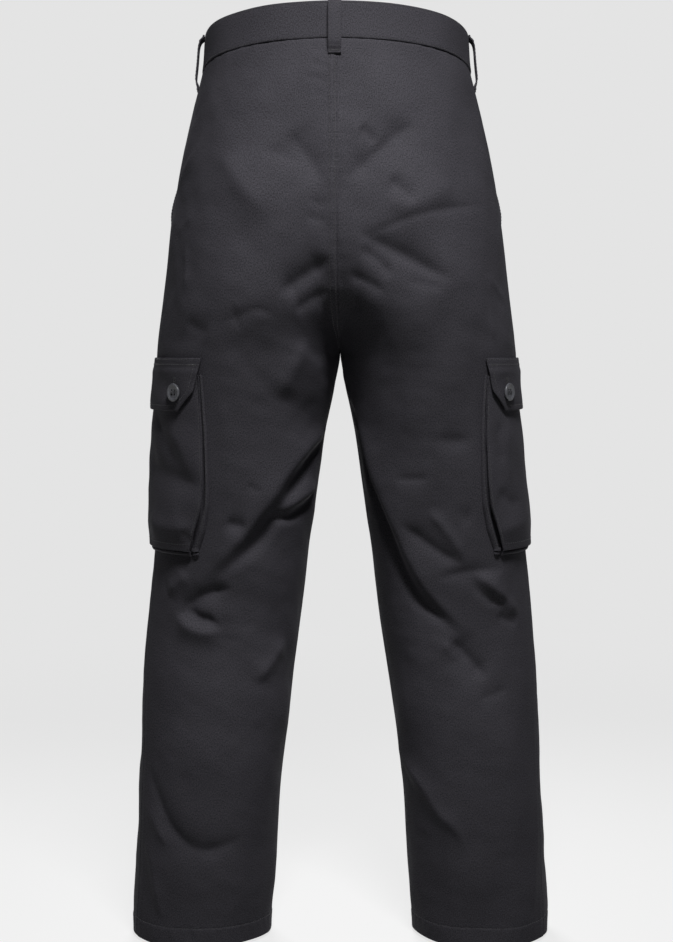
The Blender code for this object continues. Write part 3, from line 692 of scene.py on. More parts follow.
# %% Closed shells
def shell(name, outer, inner, flat, material):
    """A closed body between two grids of points. flat is each point's place on the cloth."""
    rows, cols = outer.shape[:2]
    count = rows * cols
    index = np.arange(count).reshape(rows, cols)
    a, b, c, d = index[:-1, :-1], index[:-1, 1:], index[1:, 1:], index[1:, :-1]
    front = np.stack([a, b, c, d], axis=-1).reshape(-1, 4)
    back = front[:, ::-1] + count
    rim = np.concatenate([index[0], index[1:, -1], index[-1, -2::-1], index[-2:0:-1, 0]])
    after = np.roll(rim, -1)
    edge = np.stack([after, rim, rim + count, after + count], axis=-1)
    faces = np.concatenate([front, back, edge])
    mesh = bpy.data.meshes.new(name)
    mesh.vertices.add(2 * count)
    mesh.vertices.foreach_set("co", np.concatenate([outer, inner]).astype(np.float32).ravel())
    mesh.loops.add(faces.size)
    mesh.loops.foreach_set("vertex_index", faces.astype(np.int32).ravel())
    mesh.polygons.add(len(faces))
    mesh.polygons.foreach_set("loop_start", np.arange(0, faces.size, 4, dtype=np.int32))
    mesh.update(calc_edges=True)
    layer = mesh.uv_layers.new(name="cloth")
    flat = flat.reshape(-1, 2)[faces.ravel() % count]
    layer.data.foreach_set("uv", flat.astype(np.float32).ravel())
    if outward(mesh) < 0:
        mesh.flip_normals()
    mesh.shade_smooth()
    mesh.set_sharp_from_angle(angle=np.radians(52))
    mesh.materials.append(material)
    piece = bpy.data.objects.new(name, mesh)
    bpy.context.scene.collection.objects.link(piece)
    return piece


def outward(mesh):
    """The volume that the faces enclose, negative where they point inwards."""
    points = np.empty(len(mesh.vertices) * 3)
    mesh.vertices.foreach_get("co", points)
    corners = np.empty(len(mesh.loops), np.int32)
    mesh.loops.foreach_get("vertex_index", corners)
    a, b, c, d = np.moveaxis(points.reshape(-1, 3)[corners.reshape(-1, 4)], 1, 0)
    return float(np.sum(np.cross(c - a, d - b) * (a + b + c + d)))


# %% [markdown]
# A grid is also the easiest way to find a place on a finished piece again. `sample` reads a grid
# between its rows and columns, `directions` gives the way out of it, and `pattern_size` measures
# the flat piece of cloth that it was cut from.

# %% Reading grids
def sample(grid, i, j):
    """Values of a grid at fractional rows i and columns j."""
    i, j = np.broadcast_arrays(np.asarray(i, float), np.asarray(j, float))
    i0 = np.clip(np.floor(i).astype(int), 0, grid.shape[0] - 2)
    j0 = np.clip(np.floor(j).astype(int), 0, grid.shape[1] - 2)
    u, v = (i - i0)[..., None], (j - j0)[..., None]
    return ((grid[i0, j0] * (1 - v) + grid[i0, j0 + 1] * v) * (1 - u)
            + (grid[i0 + 1, j0] * (1 - v) + grid[i0 + 1, j0 + 1] * v) * u)


def directions(grid, hint):
    """Unit directions across a grid of points, on the same side as hint."""
    across, down = np.gradient(grid, axis=1), np.gradient(grid, axis=0)
    out = np.cross(across, down)
    out /= np.maximum(np.linalg.norm(out, axis=-1, keepdims=True), 1e-12)
    return out * np.sign(np.sum(out * hint))


def unrolled(grid):
    """Flat place of each point of a grid, from the lengths along its rows and columns."""
    across = np.linalg.norm(np.diff(grid, axis=1, prepend=grid[:, :1]), axis=-1).cumsum(axis=1)
    down = np.linalg.norm(np.diff(grid, axis=0, prepend=grid[:1]), axis=-1).cumsum(axis=0)
    across -= across[:, grid.shape[1] // 2][:, None]
    down = np.broadcast_to(down.mean(axis=1)[:, None], down.shape)
    return np.stack([across, -down], axis=-1)


def pattern_size(grid):
    """Width, length and area of the cloth in a grid of points."""
    across = np.linalg.norm(np.diff(grid, axis=1), axis=-1)
    down = np.linalg.norm(np.diff(grid, axis=0), axis=-1)
    corner = np.cross(grid[1:, 1:] - grid[:-1, :-1], grid[1:, :-1] - grid[:-1, 1:])
    area = float(np.linalg.norm(corner, axis=-1).sum() / 2)
    return float(across.sum(axis=1).max()), float(down.sum(axis=0).max()), area


# %% [markdown]
# ## Cotton twill
#
# The cloth is a mid weight cotton twill, piece dyed in a cool charcoal. Twill is woven so that
# each weft thread steps over by one warp thread, which leaves fine diagonal ribs. A real rib is
# about 0.6 mm wide; here it is drawn at twice that, the finest that still shows, and broken up by
# the unevenness of spun yarn. Cotton is rough, so its gloss is weak and wide, and the loose fibre
# ends on its face give it a faint sheen at grazing angles.

# %% Cotton twill
RIB = 1.25                   # width of a diagonal rib and its furrow, mm
RIB_TURN = 63                # degrees from the weft
WAVE_UNIT = 2 * np.pi / 20   # a wave texture of scale 1 repeats at this distance
TWILL_DARK = "#29282C"
TWILL_LIGHT = "#56545B"
SLUBS = (0.95, 0.62, 1.0)    # thick places in the yarn, for each mm across and along
SLUB_SHARE = 2.6             # how much slubs, ribs and worn patches say in the colour
SLUB_BASE = -1.05
RIB_SHARE = 0.28
PATCH_SHARE = 0.35


def make_twill(name, dark, light, sheen=0.02):
    material = bpy.data.materials.new(name)
    material.use_nodes = True
    tree = material.node_tree
    shader = tree.nodes["Principled BSDF"]
    cloth = add(tree, "ShaderNodeUVMap", {"uv_map": "cloth"})
    in_mm = add(tree, "ShaderNodeMapping", Vector=cloth.outputs[0], Scale=(1000, 1000, 1000))
    turned = add(tree, "ShaderNodeMapping", Vector=in_mm.outputs[0],
                 Rotation=(0, 0, np.radians(RIB_TURN)))
    wobble = add(tree, "ShaderNodeTexNoise", Vector=in_mm.outputs[0], Scale=0.35, Detail=2.0)
    ribs = add(tree, "ShaderNodeTexWave", Vector=turned.outputs[0], Scale=WAVE_UNIT / RIB,
               Distortion=1.2, Detail=1.0)
    yarn = add(tree, "ShaderNodeMapping", Vector=in_mm.outputs[0], Scale=SLUBS)
    slub = add(tree, "ShaderNodeTexNoise", Vector=yarn.outputs[0], Scale=1.0, Detail=2.0,
               Roughness=0.6)
    patches = add(tree, "ShaderNodeTexNoise", Vector=in_mm.outputs[0], Scale=0.016, Detail=4.0)
    fibre = add(tree, "ShaderNodeMath", {"operation": "MULTIPLY_ADD"}, i0=slub.outputs[0],
                i1=SLUB_SHARE, i2=SLUB_BASE)
    weave = add(tree, "ShaderNodeMath", {"operation": "MULTIPLY_ADD"}, i0=ribs.outputs["Fac"],
                i1=RIB_SHARE, i2=fibre.outputs[0])
    worn = add(tree, "ShaderNodeMath", {"operation": "MULTIPLY_ADD", "use_clamp": True},
               i0=patches.outputs[0], i1=PATCH_SHARE, i2=weave.outputs[0])
    colour = add(tree, "ShaderNodeMix", {"data_type": "RGBA"}, i0=worn.outputs[0],
                 i6=linear(dark), i7=linear(light))
    rough = add(tree, "ShaderNodeMapRange", Value=wobble.outputs[0], To_Min=0.70, To_Max=0.84)
    height = add(tree, "ShaderNodeMath", {"operation": "MULTIPLY_ADD"}, i0=slub.outputs[0],
                 i1=0.7, i2=ribs.outputs["Fac"])
    bump = add(tree, "ShaderNodeBump", Height=height.outputs[0], Strength=0.35,
               Distance=0.12 * MM)
    tree.links.new(colour.outputs[2], shader.inputs["Base Color"])
    tree.links.new(rough.outputs[0], shader.inputs["Roughness"])
    tree.links.new(bump.outputs[0], shader.inputs["Normal"])
    shader.inputs["Specular IOR Level"].default_value = 0.16
    shader.inputs["Sheen Weight"].default_value = sheen
    shader.inputs["Sheen Roughness"].default_value = 0.45
    shader.inputs["Sheen Tint"].default_value = linear("#B9BCC8")
    return material


twill = make_twill("cotton twill", TWILL_DARK, TWILL_LIGHT)

# %% [markdown]
# ## Legs
#
# Each leg is a front and a back panel. Their rows run every 3 mm down the leg and close up at the
# waist and at the hem's stitches; their columns close up at both seams, where the relief of the
# sewing is fine. Above the crotch the inner edge moves fast from row to row, and only the last
# columns go with it.

# %% Rows and columns of a panel
ROW_GAP = 3.15 * MM
COLUMNS = 92
NEAR_EDGE = np.array([0.0, 0.7, 1.3, 2.0, 2.8, 4.0, 5.4, 6.8, 7.7, 8.7, 9.7, 11.5]) * MM
NEAR_TOP = np.array([-6.0, -0.8, 0.3, 0.9, 1.6, 2.6, 4.0, 6.2]) * MM    # from under the band
TUCK_IN = 2.6 * MM           # depth of the top edge under the band
NEAR_HEM = np.array([24.5, 22.8, 21.9, 21.2, 20.6, 19.8, 18.6, 16.5, 3.0, 1.2, 0.4, 0.0]) * MM


def panel_rows():
    """Levels of a panel's rows, from the waistband down to the hem."""
    top = PANEL_TOP - NEAR_TOP
    hem = HEM + NEAR_HEM
    long = np.arange(top[-1] - ROW_GAP, hem[0] + ROW_GAP / 2, -ROW_GAP)
    fold = np.arange(hem[7] - ROW_GAP, hem[8] + ROW_GAP / 2, -ROW_GAP)
    return np.concatenate([top, long, hem[:8], fold, hem[8:]])


def panel_columns(h, end):
    """Distances s for each row, from the side seam to the inner edge at distance end."""
    sign = np.sign(end[0])
    end = np.abs(end)[:, None]
    front, back = ends([CROTCH])
    low = abs(back[0] if sign > 0 else front[0])
    near = (1 - step(h, CROTCH, CROTCH + 150 * MM)) * (h > CROTCH)
    shift = (end - low) * near[:, None]
    t = np.linspace(0, 1, COLUMNS)
    reach = end - shift - 2 * NEAR_EDGE[-1]
    middle = NEAR_EDGE[-1] + t * reach + shift * t ** 4
    rows = [np.broadcast_to(NEAR_EDGE, (len(h), len(NEAR_EDGE)))[:, :-1], middle,
            (end - NEAR_EDGE[::-1])[:, 1:]]
    return sign * np.concatenate(rows, axis=1)


# %% [markdown]
# The slanted hip pocket is cut into the front panel: its outer edge leaves the side seam and runs
# up to the waistband, and the cloth stands open a little there, as it does on a pocket that hands
# have been in. The left front also laps over the right one at the fly.

# %% Panels
MOUTH_END = -205 * MM
MOUTH_START = 56 * MM
MOUTH_LAP = 26 * MM
MOUTH_GAPE = 3 * MM
MOUTH_ROWS = (1.8 * MM, 7.6 * MM)
FLY_END = -178 * MM
FLY_WIDTH = 38 * MM
FLY_STEP = 0.9 * MM


def mouth_edge(h):
    """Distance s of the pocket mouth, the front panel's outer edge above MOUTH_END."""
    t = np.clip((h - MOUTH_END) / (PANEL_TOP - MOUTH_END), 0, 1)
    return -(SEAM / 2 + MOUTH_START * t ** 1.1)


def mouth_gape(h, s):
    along = step(h, MOUTH_END + 2 * MM, MOUTH_END + 25 * MM)
    along *= step(-h, -MOUTH_END - 80 * MM, -MOUTH_END - 30 * MM)
    return MOUTH_GAPE * along * step(s - mouth_edge(h), -30 * MM, 0)


def front_relief(side, h, s, end):
    """Relief of the front panel only: the pocket mouth and the fly, on top of the skin."""
    off = mouth_gape(h, s)
    above = h > MOUTH_END
    off += above * sum(groove(mouth_edge(h) - s - row, 0.3, 0.9) for row in MOUTH_ROWS)
    off -= above * 0.9 * MM * np.exp(-(mouth_edge(h) - s) / (0.8 * MM))
    middle = s - end
    fly = step(h, FLY_END - 30 * MM, FLY_END - 10 * MM)
    lap = step(6 * MM - middle, 0, 5 * MM) * FLY_STEP * fly
    return off + (lap if side > 0 else -lap)


def keep_side(side, grid, h):
    """The grid with no point past the middle plane of the trousers."""
    middle = sway(h[:, None], 0.0 * grid[:, :, 0])
    x = side * (grid[:, :, 0] - middle)
    grid[:, :, 0] = side * np.maximum(x, 0.0) + middle
    return grid


def make_panel(side, front, name):
    h = panel_rows()
    front_end, back_end = ends(h)
    end = front_end if front else back_end
    s = panel_columns(h, end)
    off = 0.0 * s
    if front:
        share = s / end[:, None]
        edge = mouth_edge(h)[:, None]
        s = edge + share * (end[:, None] + SEAM / 2 - edge)
        off = front_relief(side, h[:, None], s, end[:, None])
    off = off - TUCK_IN * step(h - PANEL_TOP, -0.4 * MM, 0.6 * MM)[:, None]
    point, normal = facing(side, h, s)
    outer = point + normal * off[..., None]
    inner = keep_side(side, point + normal * (off[..., None] - CLOTH), h)
    flat = np.stack([s, np.broadcast_to(h[:, None], s.shape)], axis=-1)
    piece = shell(name, outer, inner, flat, twill)
    return piece, {"h": h, "s": s, "outer": outer, "out": normal, "end": end}


def stand_in(piece, node, grid):
    """The piece takes the place of a node of the frame, and the size of the cloth it is cut from is
    printed.
    """
    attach(piece, "root")
    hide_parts(node)
    width, length, area = pattern_size(grid)
    print(f"{piece.name}: cut {1000 * width:.0f} x {1000 * length:.0f} mm, "
          f"{2 * len(piece.data.polygons)} triangles")


SIDES = ((1, "left"), (-1, "right"))
panels = {}
for side, word in SIDES:
    for front, part in ((False, "back"), (True, "front")):
        piece, panels[part, side] = make_panel(side, front, f"{part}_{word}")
        stand_in(piece, f"{part}_panel_{word}", panels[part, side]["outer"])

# %% [markdown]
# ## Waistband
#
# The band is one strip of double twill, stiffened, that runs from the left end at the fly round
# the back to the right end, which reaches under the left one. Its two long edges are folds, so
# they are round, and a row of stitches runs along each. Where the panels hang from it the band's
# lower edge stands a little proud, which draws the dark line under it.

# %% Waistband
FLY_LAP = 40 * MM
BAND_STEP = (0.13, 0.01)
BAND_COLUMNS = 138
BAND_EDGE = np.array([0.0, 0.35, 0.9, 1.6, 2.4, 3.6]) * MM
BAND_ROWS = (2.2 * MM, 40.3 * MM)    # stitches below the top edge


def near_edges(length, edge, gap):
    """Distances from 0 to length, close together at both ends."""
    count = max(2, int(round((length - 2 * edge[-1]) / gap)))
    middle = np.linspace(edge[-1], length - edge[-1], count)
    return np.concatenate([edge[:-1], middle, length - edge[:-1][::-1]])


def band_place(h, s_left, s_right, s_under):
    """Points and directions along the band, left half, right half and the end under the fly, and
    how far each point lies under the left end."""
    left, left_out = facing(1, h, s_left, True)
    right, right_out = facing(-1, h, s_right, True)
    under, under_out = facing(1, h, s_under, True)
    front, back = ends(h)
    reach = (back - front)[:, None]
    down = np.concatenate([0 * s_left, step(front[:, None] - s_right, -reach * BAND_STEP[0],
                                            -reach * BAND_STEP[1]), 0 * s_under + 1], axis=1)
    return (np.concatenate([left, right, under], axis=1),
            np.concatenate([left_out, right_out, under_out], axis=1), down)


def make_waistband(name):
    depth = near_edges(BAND_TOP - BAND_BOTTOM, BAND_EDGE, 2.6 * MM)
    h = BAND_TOP - depth
    front, back = (end[:, None] for end in ends(h))
    share = np.linspace(0, 1, BAND_COLUMNS)
    left = front + (back - front) * share
    under = front + np.linspace(4 * MM, FLY_LAP, 13)
    point, out, down = band_place(h, left, left[:, ::-1][:, 1:], under)
    flat = unrolled(point)
    along, edge = flat[..., 0], np.minimum(depth, depth[::-1])[:, None]
    off = BAND_PROUD - (BAND_WALL + SEAM) * down
    off += ripple(21, 12, (45 * MM, 130 * MM), 0.45 * MM, 0 * along, along)
    off += sum(groove(depth[:, None] - row, 0.28, 0.8) for row in BAND_ROWS)
    gather = np.sin(2 * np.pi * along / (15 * MM) + 2 * np.sin(along / (37 * MM)))
    off += 0.14 * MM * gather * np.exp(-((depth[:, None] - BAND_ROWS[1]) / (6 * MM)) ** 2)
    roll = 0.95 * MM * np.exp(-edge / (0.55 * MM))
    outer = point + out * (off - roll)[..., None]
    inner = point + out * (off - BAND_WALL + roll)[..., None]
    piece = shell(name, outer, inner, flat, twill)
    return piece, {"depth": depth, "outer": outer, "out": out}


piece, band = make_waistband("band")
stand_in(piece, "waistband", band["outer"])

# %% [markdown]
# ## Belt loops
#
# A loop is a narrow strip whose edges are folded under and stitched down, so it is thick and
# stiff. It stands off the band far enough for a belt, and both ends are turned under and tacked.

# %% Belt loops
LOOP_HALF = 7.2 * MM
LOOP_WALL = 1.8 * MM
LOOP_FROM_FRONT = 95 * MM
LOOP_BACK_SHIFT = 2 * MM
LOOP_ROW = 4.6 * MM          # stitches, from the loop's middle line
LOOP_PATH = (                # distance of the loop's inner face off the skin, and level, mm
    (1.2, 22.4), (1.3, 19.5), (4.8, 17.0), (6.7, 11.0), (7.1, -2.0), (7.2, -18.0),
    (6.1, -29.0), (2.9, -33.5), (0.6, -36.0), (0.4, -40.0))


def across_middle(h, w, back, smooth=True):
    """Points and directions at signed distances w from the middle seam, positive to the left,
    round the back or the front."""
    front_end, back_end = ends(h)
    end = (back_end if back else front_end)[:, None]
    s = end - np.sign(end) * np.abs(w)
    left, left_out = facing(1, h, s, smooth)
    right, right_out = facing(-1, h, s, smooth)
    share = step(w, -2 * MM, 2 * MM)[..., None]
    out = left_out * share + right_out * (1 - share)
    return np.where(w[..., None] >= 0, left, right), out / np.linalg.norm(out, axis=-1,
                                                                         keepdims=True)


def loop_places():
    """Name, node and a rule for points on the skin at (h, w), for each of the five loops."""
    yield "loop_back", "belt_loop_back", lambda h, w: across_middle(h, w + LOOP_BACK_SHIFT, True)
    for side, word in SIDES:
        yield (f"loop_side_{word}", f"belt_loop_side_{word}",
               lambda h, w: facing(side, h, w, True))
        yield (f"loop_front_{word}", f"belt_loop_front_{word}", lambda h, w: facing(
            side, h, ends(h)[0][:, None] + LOOP_FROM_FRONT + w, True))


def make_loop(name, place):
    path = rounded(LOOP_PATH)
    run = np.concatenate([[0], np.hypot(*np.diff(path, axis=0).T).cumsum()])
    even = near_edges(run[-1], BAND_EDGE[:4], 1.5 * MM)
    off = np.interp(even, run, path[:, 0])[:, None]
    h = np.interp(even, run, path[:, 1])
    w = near_edges(2 * LOOP_HALF, BAND_EDGE[:5], 1.3 * MM) - LOOP_HALF
    point, out = place(h, np.broadcast_to(w, (len(h), len(w))))
    flat_out = out[:, len(w) // 2][:, None]
    end = np.minimum(even, even[::-1])[:, None]
    edge = np.minimum(LOOP_HALF - np.abs(w), end)
    roll = 0.6 * MM * np.exp(-edge / (0.5 * MM))
    turned = 0.9 * MM * step(9 * MM - end, 0, 1.2 * MM)
    turned = turned + groove(np.abs(w) - LOOP_ROW, 0.2, 0.7)
    outer = point + flat_out * (off + LOOP_WALL + turned - roll)[..., None]
    inner = point + flat_out * (off + roll)[..., None]
    piece = shell(name, outer, inner, unrolled(outer), twill)
    return piece, {"run": even, "w": w, "outer": outer, "out": flat_out + 0 * outer}


loops = []
for name, node, place in loop_places():
    piece, grid = make_loop(name, place)
    stand_in(piece, node, grid["outer"])
    loops.append(grid)

# %% [markdown]
# ## Cargo pockets
#
# A cargo pocket is a patch with a bellows: a strip of cloth runs round three sides between the
# patch and the leg and folds in under the patch's edge, so that the pocket can swell. Seen from
# behind, that fold is the dark line inside the pocket's edge. The patch, the fold and the foot
# that is sewn to the leg are one grid here, so its rows bend round the lower corners like the
# sides of a tray.

# %% Cargo pockets
GUSSET_FOOT = 5 * MM
STAND_TOP = 2.0              # how far the face stands off at the mouth, mm
STAND_SWELL = 5.7            # and how much that grows down to the middle,
STAND_POUCH = 1.8            # grows again below it
STAND_PINCH = 2.4            # and shrinks at the bottom seam
POCKET_CLOTH = 0.9 * MM
GUSSET = np.array([          # share of the way out to the foot, share of the tuck, of the height
    (0.00, -0.05, 0.90),
    (0.00, 0.30, 0.70),
    (0.00, 1.00, 0.44),
    (0.00, 1.00, 0.06),
    (0.22, 0.00, 0.04),
    (0.36, 0.00, 0.40),
    (0.66, 0.00, 0.48),
    (1.00, 0.00, 0.32),
    (1.15, 0.00, 0.02),
])
POCKET_FOLDS = {             # as the folds above, s from the pocket's middle
    1: ((24, -5.6, 0.0, ((-30, -462), (40, -474), (100, -492))),
        (14, -2.2, 0.0, ((10, -402), (40, -436), (66, -470))),
        (13, 1.8, 0.0, ((50, -420), (74, -450), (84, -486))),
        (18, 3.8, 0.0, ((0, -528), (50, -538), (84, -530))),
        (6, -1.4, 0.0, ((66, -536), (78, -556))),
        (16, 2.2, 0.0, ((-60, -420), (-30, -470), (-44, -530)))),
    -1: ((9, 2.2, 0.0, ((62, -410), (66, -450), (60, -490))),
         (8, -2.0, 0.0, ((76, -412), (80, -440), (74, -470))),
         (13, -2.8, 0.0, ((84, -492), (60, -510), (40, -508))),
         (16, 2.4, 0.0, ((84, -540), (50, -534), (10, -528))),
         (14, 2.2, 0.0, ((-66, -410), (-30, -450), (-38, -520)))),
}


def pocket_stand(h):
    """How far the pocket's face stands off the leg: little at the mouth, most near the bottom."""
    swell = STAND_SWELL * step(-h, -POCKET_TOP, -POCKET_TOP + 115 * MM)
    pouch = STAND_POUCH * step(-h, -POCKET_TOP + 95 * MM, -POCKET_TOP + 165 * MM)
    pinch = STAND_PINCH * step(-h, -POCKET_BOTTOM - 28 * MM, -POCKET_BOTTOM)
    return (STAND_TOP + swell + pouch - pinch) * MM


def pocket_face(side, h, x):
    """How far the face stands off the smooth skin at level h, x from the pocket's middle."""
    off = pocket_stand(h) + ripple(31 + side, 14, (35 * MM, 90 * MM), 0.35 * MM, h, x)
    for fold in POCKET_FOLDS[side]:
        off = off + fold_height(fold, h + 0 * x, x + 0 * h)
    edge = half_width(POCKET_EDGES, h) - np.abs(x)
    off += groove(edge - 2.2 * MM, 0.3, 0.8) + groove(h - POCKET_BOTTOM - 8 * MM, 0.3, 0.8)
    seam = np.minimum(edge, h - POCKET_BOTTOM)
    return off - 0.7 * MM * np.exp(-np.maximum(seam, 0) / (0.8 * MM))


def make_pocket(side, name):
    depth = near_edges(POCKET_TOP - POCKET_BOTTOM, BAND_EDGE, 2.6 * MM)
    parts = len(GUSSET)
    h = np.concatenate([POCKET_TOP - depth, np.full(parts, POCKET_BOTTOM)])[:, None]
    low = np.concatenate([np.full(len(depth), -1), np.arange(parts)])[:, None]
    share = near_edges(2.0, BAND_EDGE / (90 * MM), 0.032) - 1
    share = np.concatenate([[-1] * parts, share, [1] * parts])
    beside = np.concatenate([np.arange(parts)[::-1], np.full(len(share) - 2 * parts, -1),
                             np.arange(parts)])

    half = half_width(POCKET_EDGES, h)
    stand = pocket_stand(h)
    tuck = 0.5 * (stand - 1.4 * MM)

    def reach(part, gap):
        found = gap * GUSSET[part, 0] - tuck * GUSSET[part, 1]
        return np.where(part < 0, 0.0, found)

    def height(part):
        found = REST + (stand - REST) * GUSSET[part, 2]
        return np.where(part < 0, 1.0, found)

    gap = half_width(POCKET_EDGES, h, 2) - half
    x = share * half + np.sign(share) * reach(beside, gap)
    level = h - reach(low, GUSSET_FOOT)
    face = pocket_face(side, h, np.clip(x, -half, half))
    off = np.where(beside < 0, face, height(beside))
    off = np.where(low < 0, off, np.minimum(off, height(low)))

    point, out = facing(side, level[:, 0], x + side * POCKET_TURN, True)
    outer = point + out * off[..., None]
    inner = outer - directions(outer, out) * POCKET_CLOTH
    piece = shell(name, outer, inner, unrolled(outer), twill)
    return piece, {"h": h[:, 0], "x": x, "outer": outer, "out": directions(outer, out)}


pockets = {}
for side, word in SIDES:
    piece, pockets[side] = make_pocket(side, f"pocket_{word}")
    stand_in(piece, f"cargo_pocket_{word}", pockets[side]["outer"])

# %% [markdown]
# ## Pocket flaps
#
# A flap is two layers of twill with their lower corners cut off. It is sewn on upside down, folded
# over the seam and stitched again, which makes the raised band along its top. The three free
# edges are turned, so they are round, and top stitching runs a little inside them.

# %% Flaps
FLAP_BOTTOM = -404 * MM
FLAP_WALL = 1.8 * MM
FLAP_BAND = 9 * MM
FLAP_STITCH = 6 * MM
FLAP_CORNERS = np.array([(103, -345), (91, -382), (69, -404), (0, -404)]) * MM
FLAP_FOLDS = {
    1: ((15, 1.1, 0.0, ((-10, -372), (24, -388), (60, -402))),
        (10, -0.8, 0.0, ((30, -360), (52, -376), (60, -398)))),
    -1: ((14, 1.1, 0.0, ((16, -366), (40, -384), (52, -402))),
         (10, -0.7, 0.0, ((80, -362), (64, -384)))),
}


def flap_stand(h):
    """How far the flap's inner face stands off the leg."""
    lift = 2.3 * MM * step(-h, -FLAP_TOP + 4 * MM, -POCKET_TOP - 2 * MM)
    return REST + lift + 2.6 * MM * step(-h, -POCKET_TOP, -FLAP_BOTTOM)


def inside_by(corners, x, h):
    """Distance of (x, h) from the nearest of the lines through the corners, in order."""
    run = np.diff(corners, axis=0)
    run /= np.linalg.norm(run, axis=1)[:, None]
    lines = zip(corners, run)
    return np.min([a[0] * 0 + (x - p[0]) * a[1] - (h - p[1]) * a[0] for p, a in lines], axis=0)


def make_flap(side, name):
    depth = near_edges(FLAP_TOP - FLAP_BOTTOM, BAND_EDGE, 1.5 * MM)
    h = FLAP_TOP - depth
    share = near_edges(2.0, BAND_EDGE / (90 * MM), 0.025) - 1
    half = np.interp(-h, -FLAP_CORNERS[:3, 1], FLAP_CORNERS[:3, 0])
    x = share * half[:, None]
    edge = inside_by(FLAP_CORNERS, np.abs(x), h[:, None])
    off = flap_stand(h)[:, None] + FLAP_WALL
    off = off + ripple(41 + side, 10, (30 * MM, 70 * MM), 0.3 * MM, h[:, None], x)
    for fold in FLAP_FOLDS[side]:
        off += fold_height(fold, h[:, None] + 0 * x, x)
    across = depth[:, None]
    off += 0.6 * MM * step(FLAP_BAND - across, 0, 0.9 * MM)
    off += groove(across - 1.6 * MM, 0.3, 0.7) + groove(across - FLAP_BAND + 1.8 * MM, 0.3, 0.7)
    off += groove(edge - FLAP_STITCH, 0.35, 0.9)
    roll = 0.8 * MM * np.exp(-np.minimum(edge, across) / (0.5 * MM))
    point, out = facing(side, h, x + side * POCKET_TURN, True)
    outer = point + out * (off - roll)[..., None]
    inner = point + out * (off - FLAP_WALL + roll * 0.6)[..., None]
    piece = shell(name, outer, inner, unrolled(point), twill)
    return piece, {"h": h, "x": x, "outer": outer, "out": out}


flaps = {}
for side, word in SIDES:
    piece, flaps[side] = make_flap(side, f"flap_{word}")
    stand_in(piece, f"cargo_flap_{word}", flaps[side]["outer"])

# %% [markdown]
# ## Behind the openings
#
# Three kinds of piece lie behind the openings and are seen only from close by: the facing behind
# each slanted pocket mouth, the shield behind the fly and the tape of the zip. All follow the same
# skin a few millimetres deeper.

# %% Hip facings, fly shield and zip tape
SHIELD_END = -196 * MM
SHIELD_DROP = 3.8 * MM
SHIELD_WALL = 1.2 * MM
ZIP_TOP = -39 * MM
ZIP_END = -186 * MM
ZIP_DROP = 1.4 * MM
ZIP_WALL = 1.1 * MM
BEHIND = CLOTH + REST
FACING_TOP = np.array([4.0, 1.0]) * MM      # rows that reach up under the band

lining = make_twill("pocket twill", "#242327", "#49474D")
tape_cloth = make_twill("zip tape", "#151516", "#2E2E31")


def make_facing(side, name):
    h = np.append(PANEL_TOP + FACING_TOP, np.linspace(PANEL_TOP, MOUTH_END + 2 * MM, 48))
    edge = mouth_edge(h)[:, None]
    s = edge - MOUTH_LAP + np.linspace(0, 1, 22) * (MOUTH_LAP - SEAM / 2 - edge)
    off = -BEHIND * (1 - step(s - edge, 3 * MM, 18 * MM))
    off = off - TUCK_IN * step(h - PANEL_TOP, -0.4 * MM, 0.6 * MM)[:, None]
    point, out = facing(side, h, s)
    outer = point + out * off[..., None]
    inner = point + out * (off - CLOTH)[..., None]
    return shell(name, outer, inner, np.stack([s, h[:, None] + 0 * s], axis=-1), lining), outer


def make_behind_fly(name, h, w, off, wall, material):
    point, out = across_middle(h, w + 0 * h[:, None], False, smooth=False)
    outer = point + out * off[..., None]
    inner = outer - out * wall
    return shell(name, outer, inner, unrolled(outer), material), {"outer": outer, "out": out}


for side, word in SIDES:
    piece, grid = make_facing(side, f"facing_{word}")
    stand_in(piece, f"hip_facing_{word}", grid)
widths = np.linspace(-30, 30, 41) * MM
drop = BEHIND + SHIELD_DROP * step(widths, -22 * MM, -12 * MM)
piece, grid = make_behind_fly("fly_shield_cloth", np.linspace(PANEL_TOP - 2 * MM, SHIELD_END, 60),
                              widths, -drop, SHIELD_WALL, twill)
stand_in(piece, "fly_shield", grid["outer"])
widths = np.linspace(-11, 11, 17) * MM
drop = BEHIND + ZIP_DROP * step(-np.abs(widths), -10 * MM, -4 * MM)
piece, zip_grid = make_behind_fly("zip_strip", np.linspace(ZIP_TOP, ZIP_END, 60), widths, -drop,
                                  ZIP_WALL, tape_cloth)
stand_in(piece, "fly_zip", zip_grid["outer"])

# %% [markdown]
# ## Buttons
#
# The buttons are turned from dark resin: a raised rim round a dished middle with four holes. The
# profile is spun round the button's axis, and the holes are cut with a boolean, once; each button
# is then a copy of that mesh, set on its place with its face along the cloth.

# %% Button mesh
BUTTON_THICK = 3.2 * MM
BUTTON_SIDES = 64
BUTTON_HOLE = 1.25 * MM
BUTTON_HOLE_OFF = 2.3 * MM
BUTTON_PROFILE = (           # share of the radius and of the thickness, from back to face
    (0.0, 0.0), (0.86, 0.0), (0.95, 0.12), (1.0, 0.36), (1.0, 0.62), (0.975, 0.86), (0.93, 0.97),
    (0.88, 1.0), (0.82, 0.98), (0.76, 0.9), (0.71, 0.77), (0.66, 0.69), (0.58, 0.65), (0.3, 0.62),
    (0.0, 0.62))


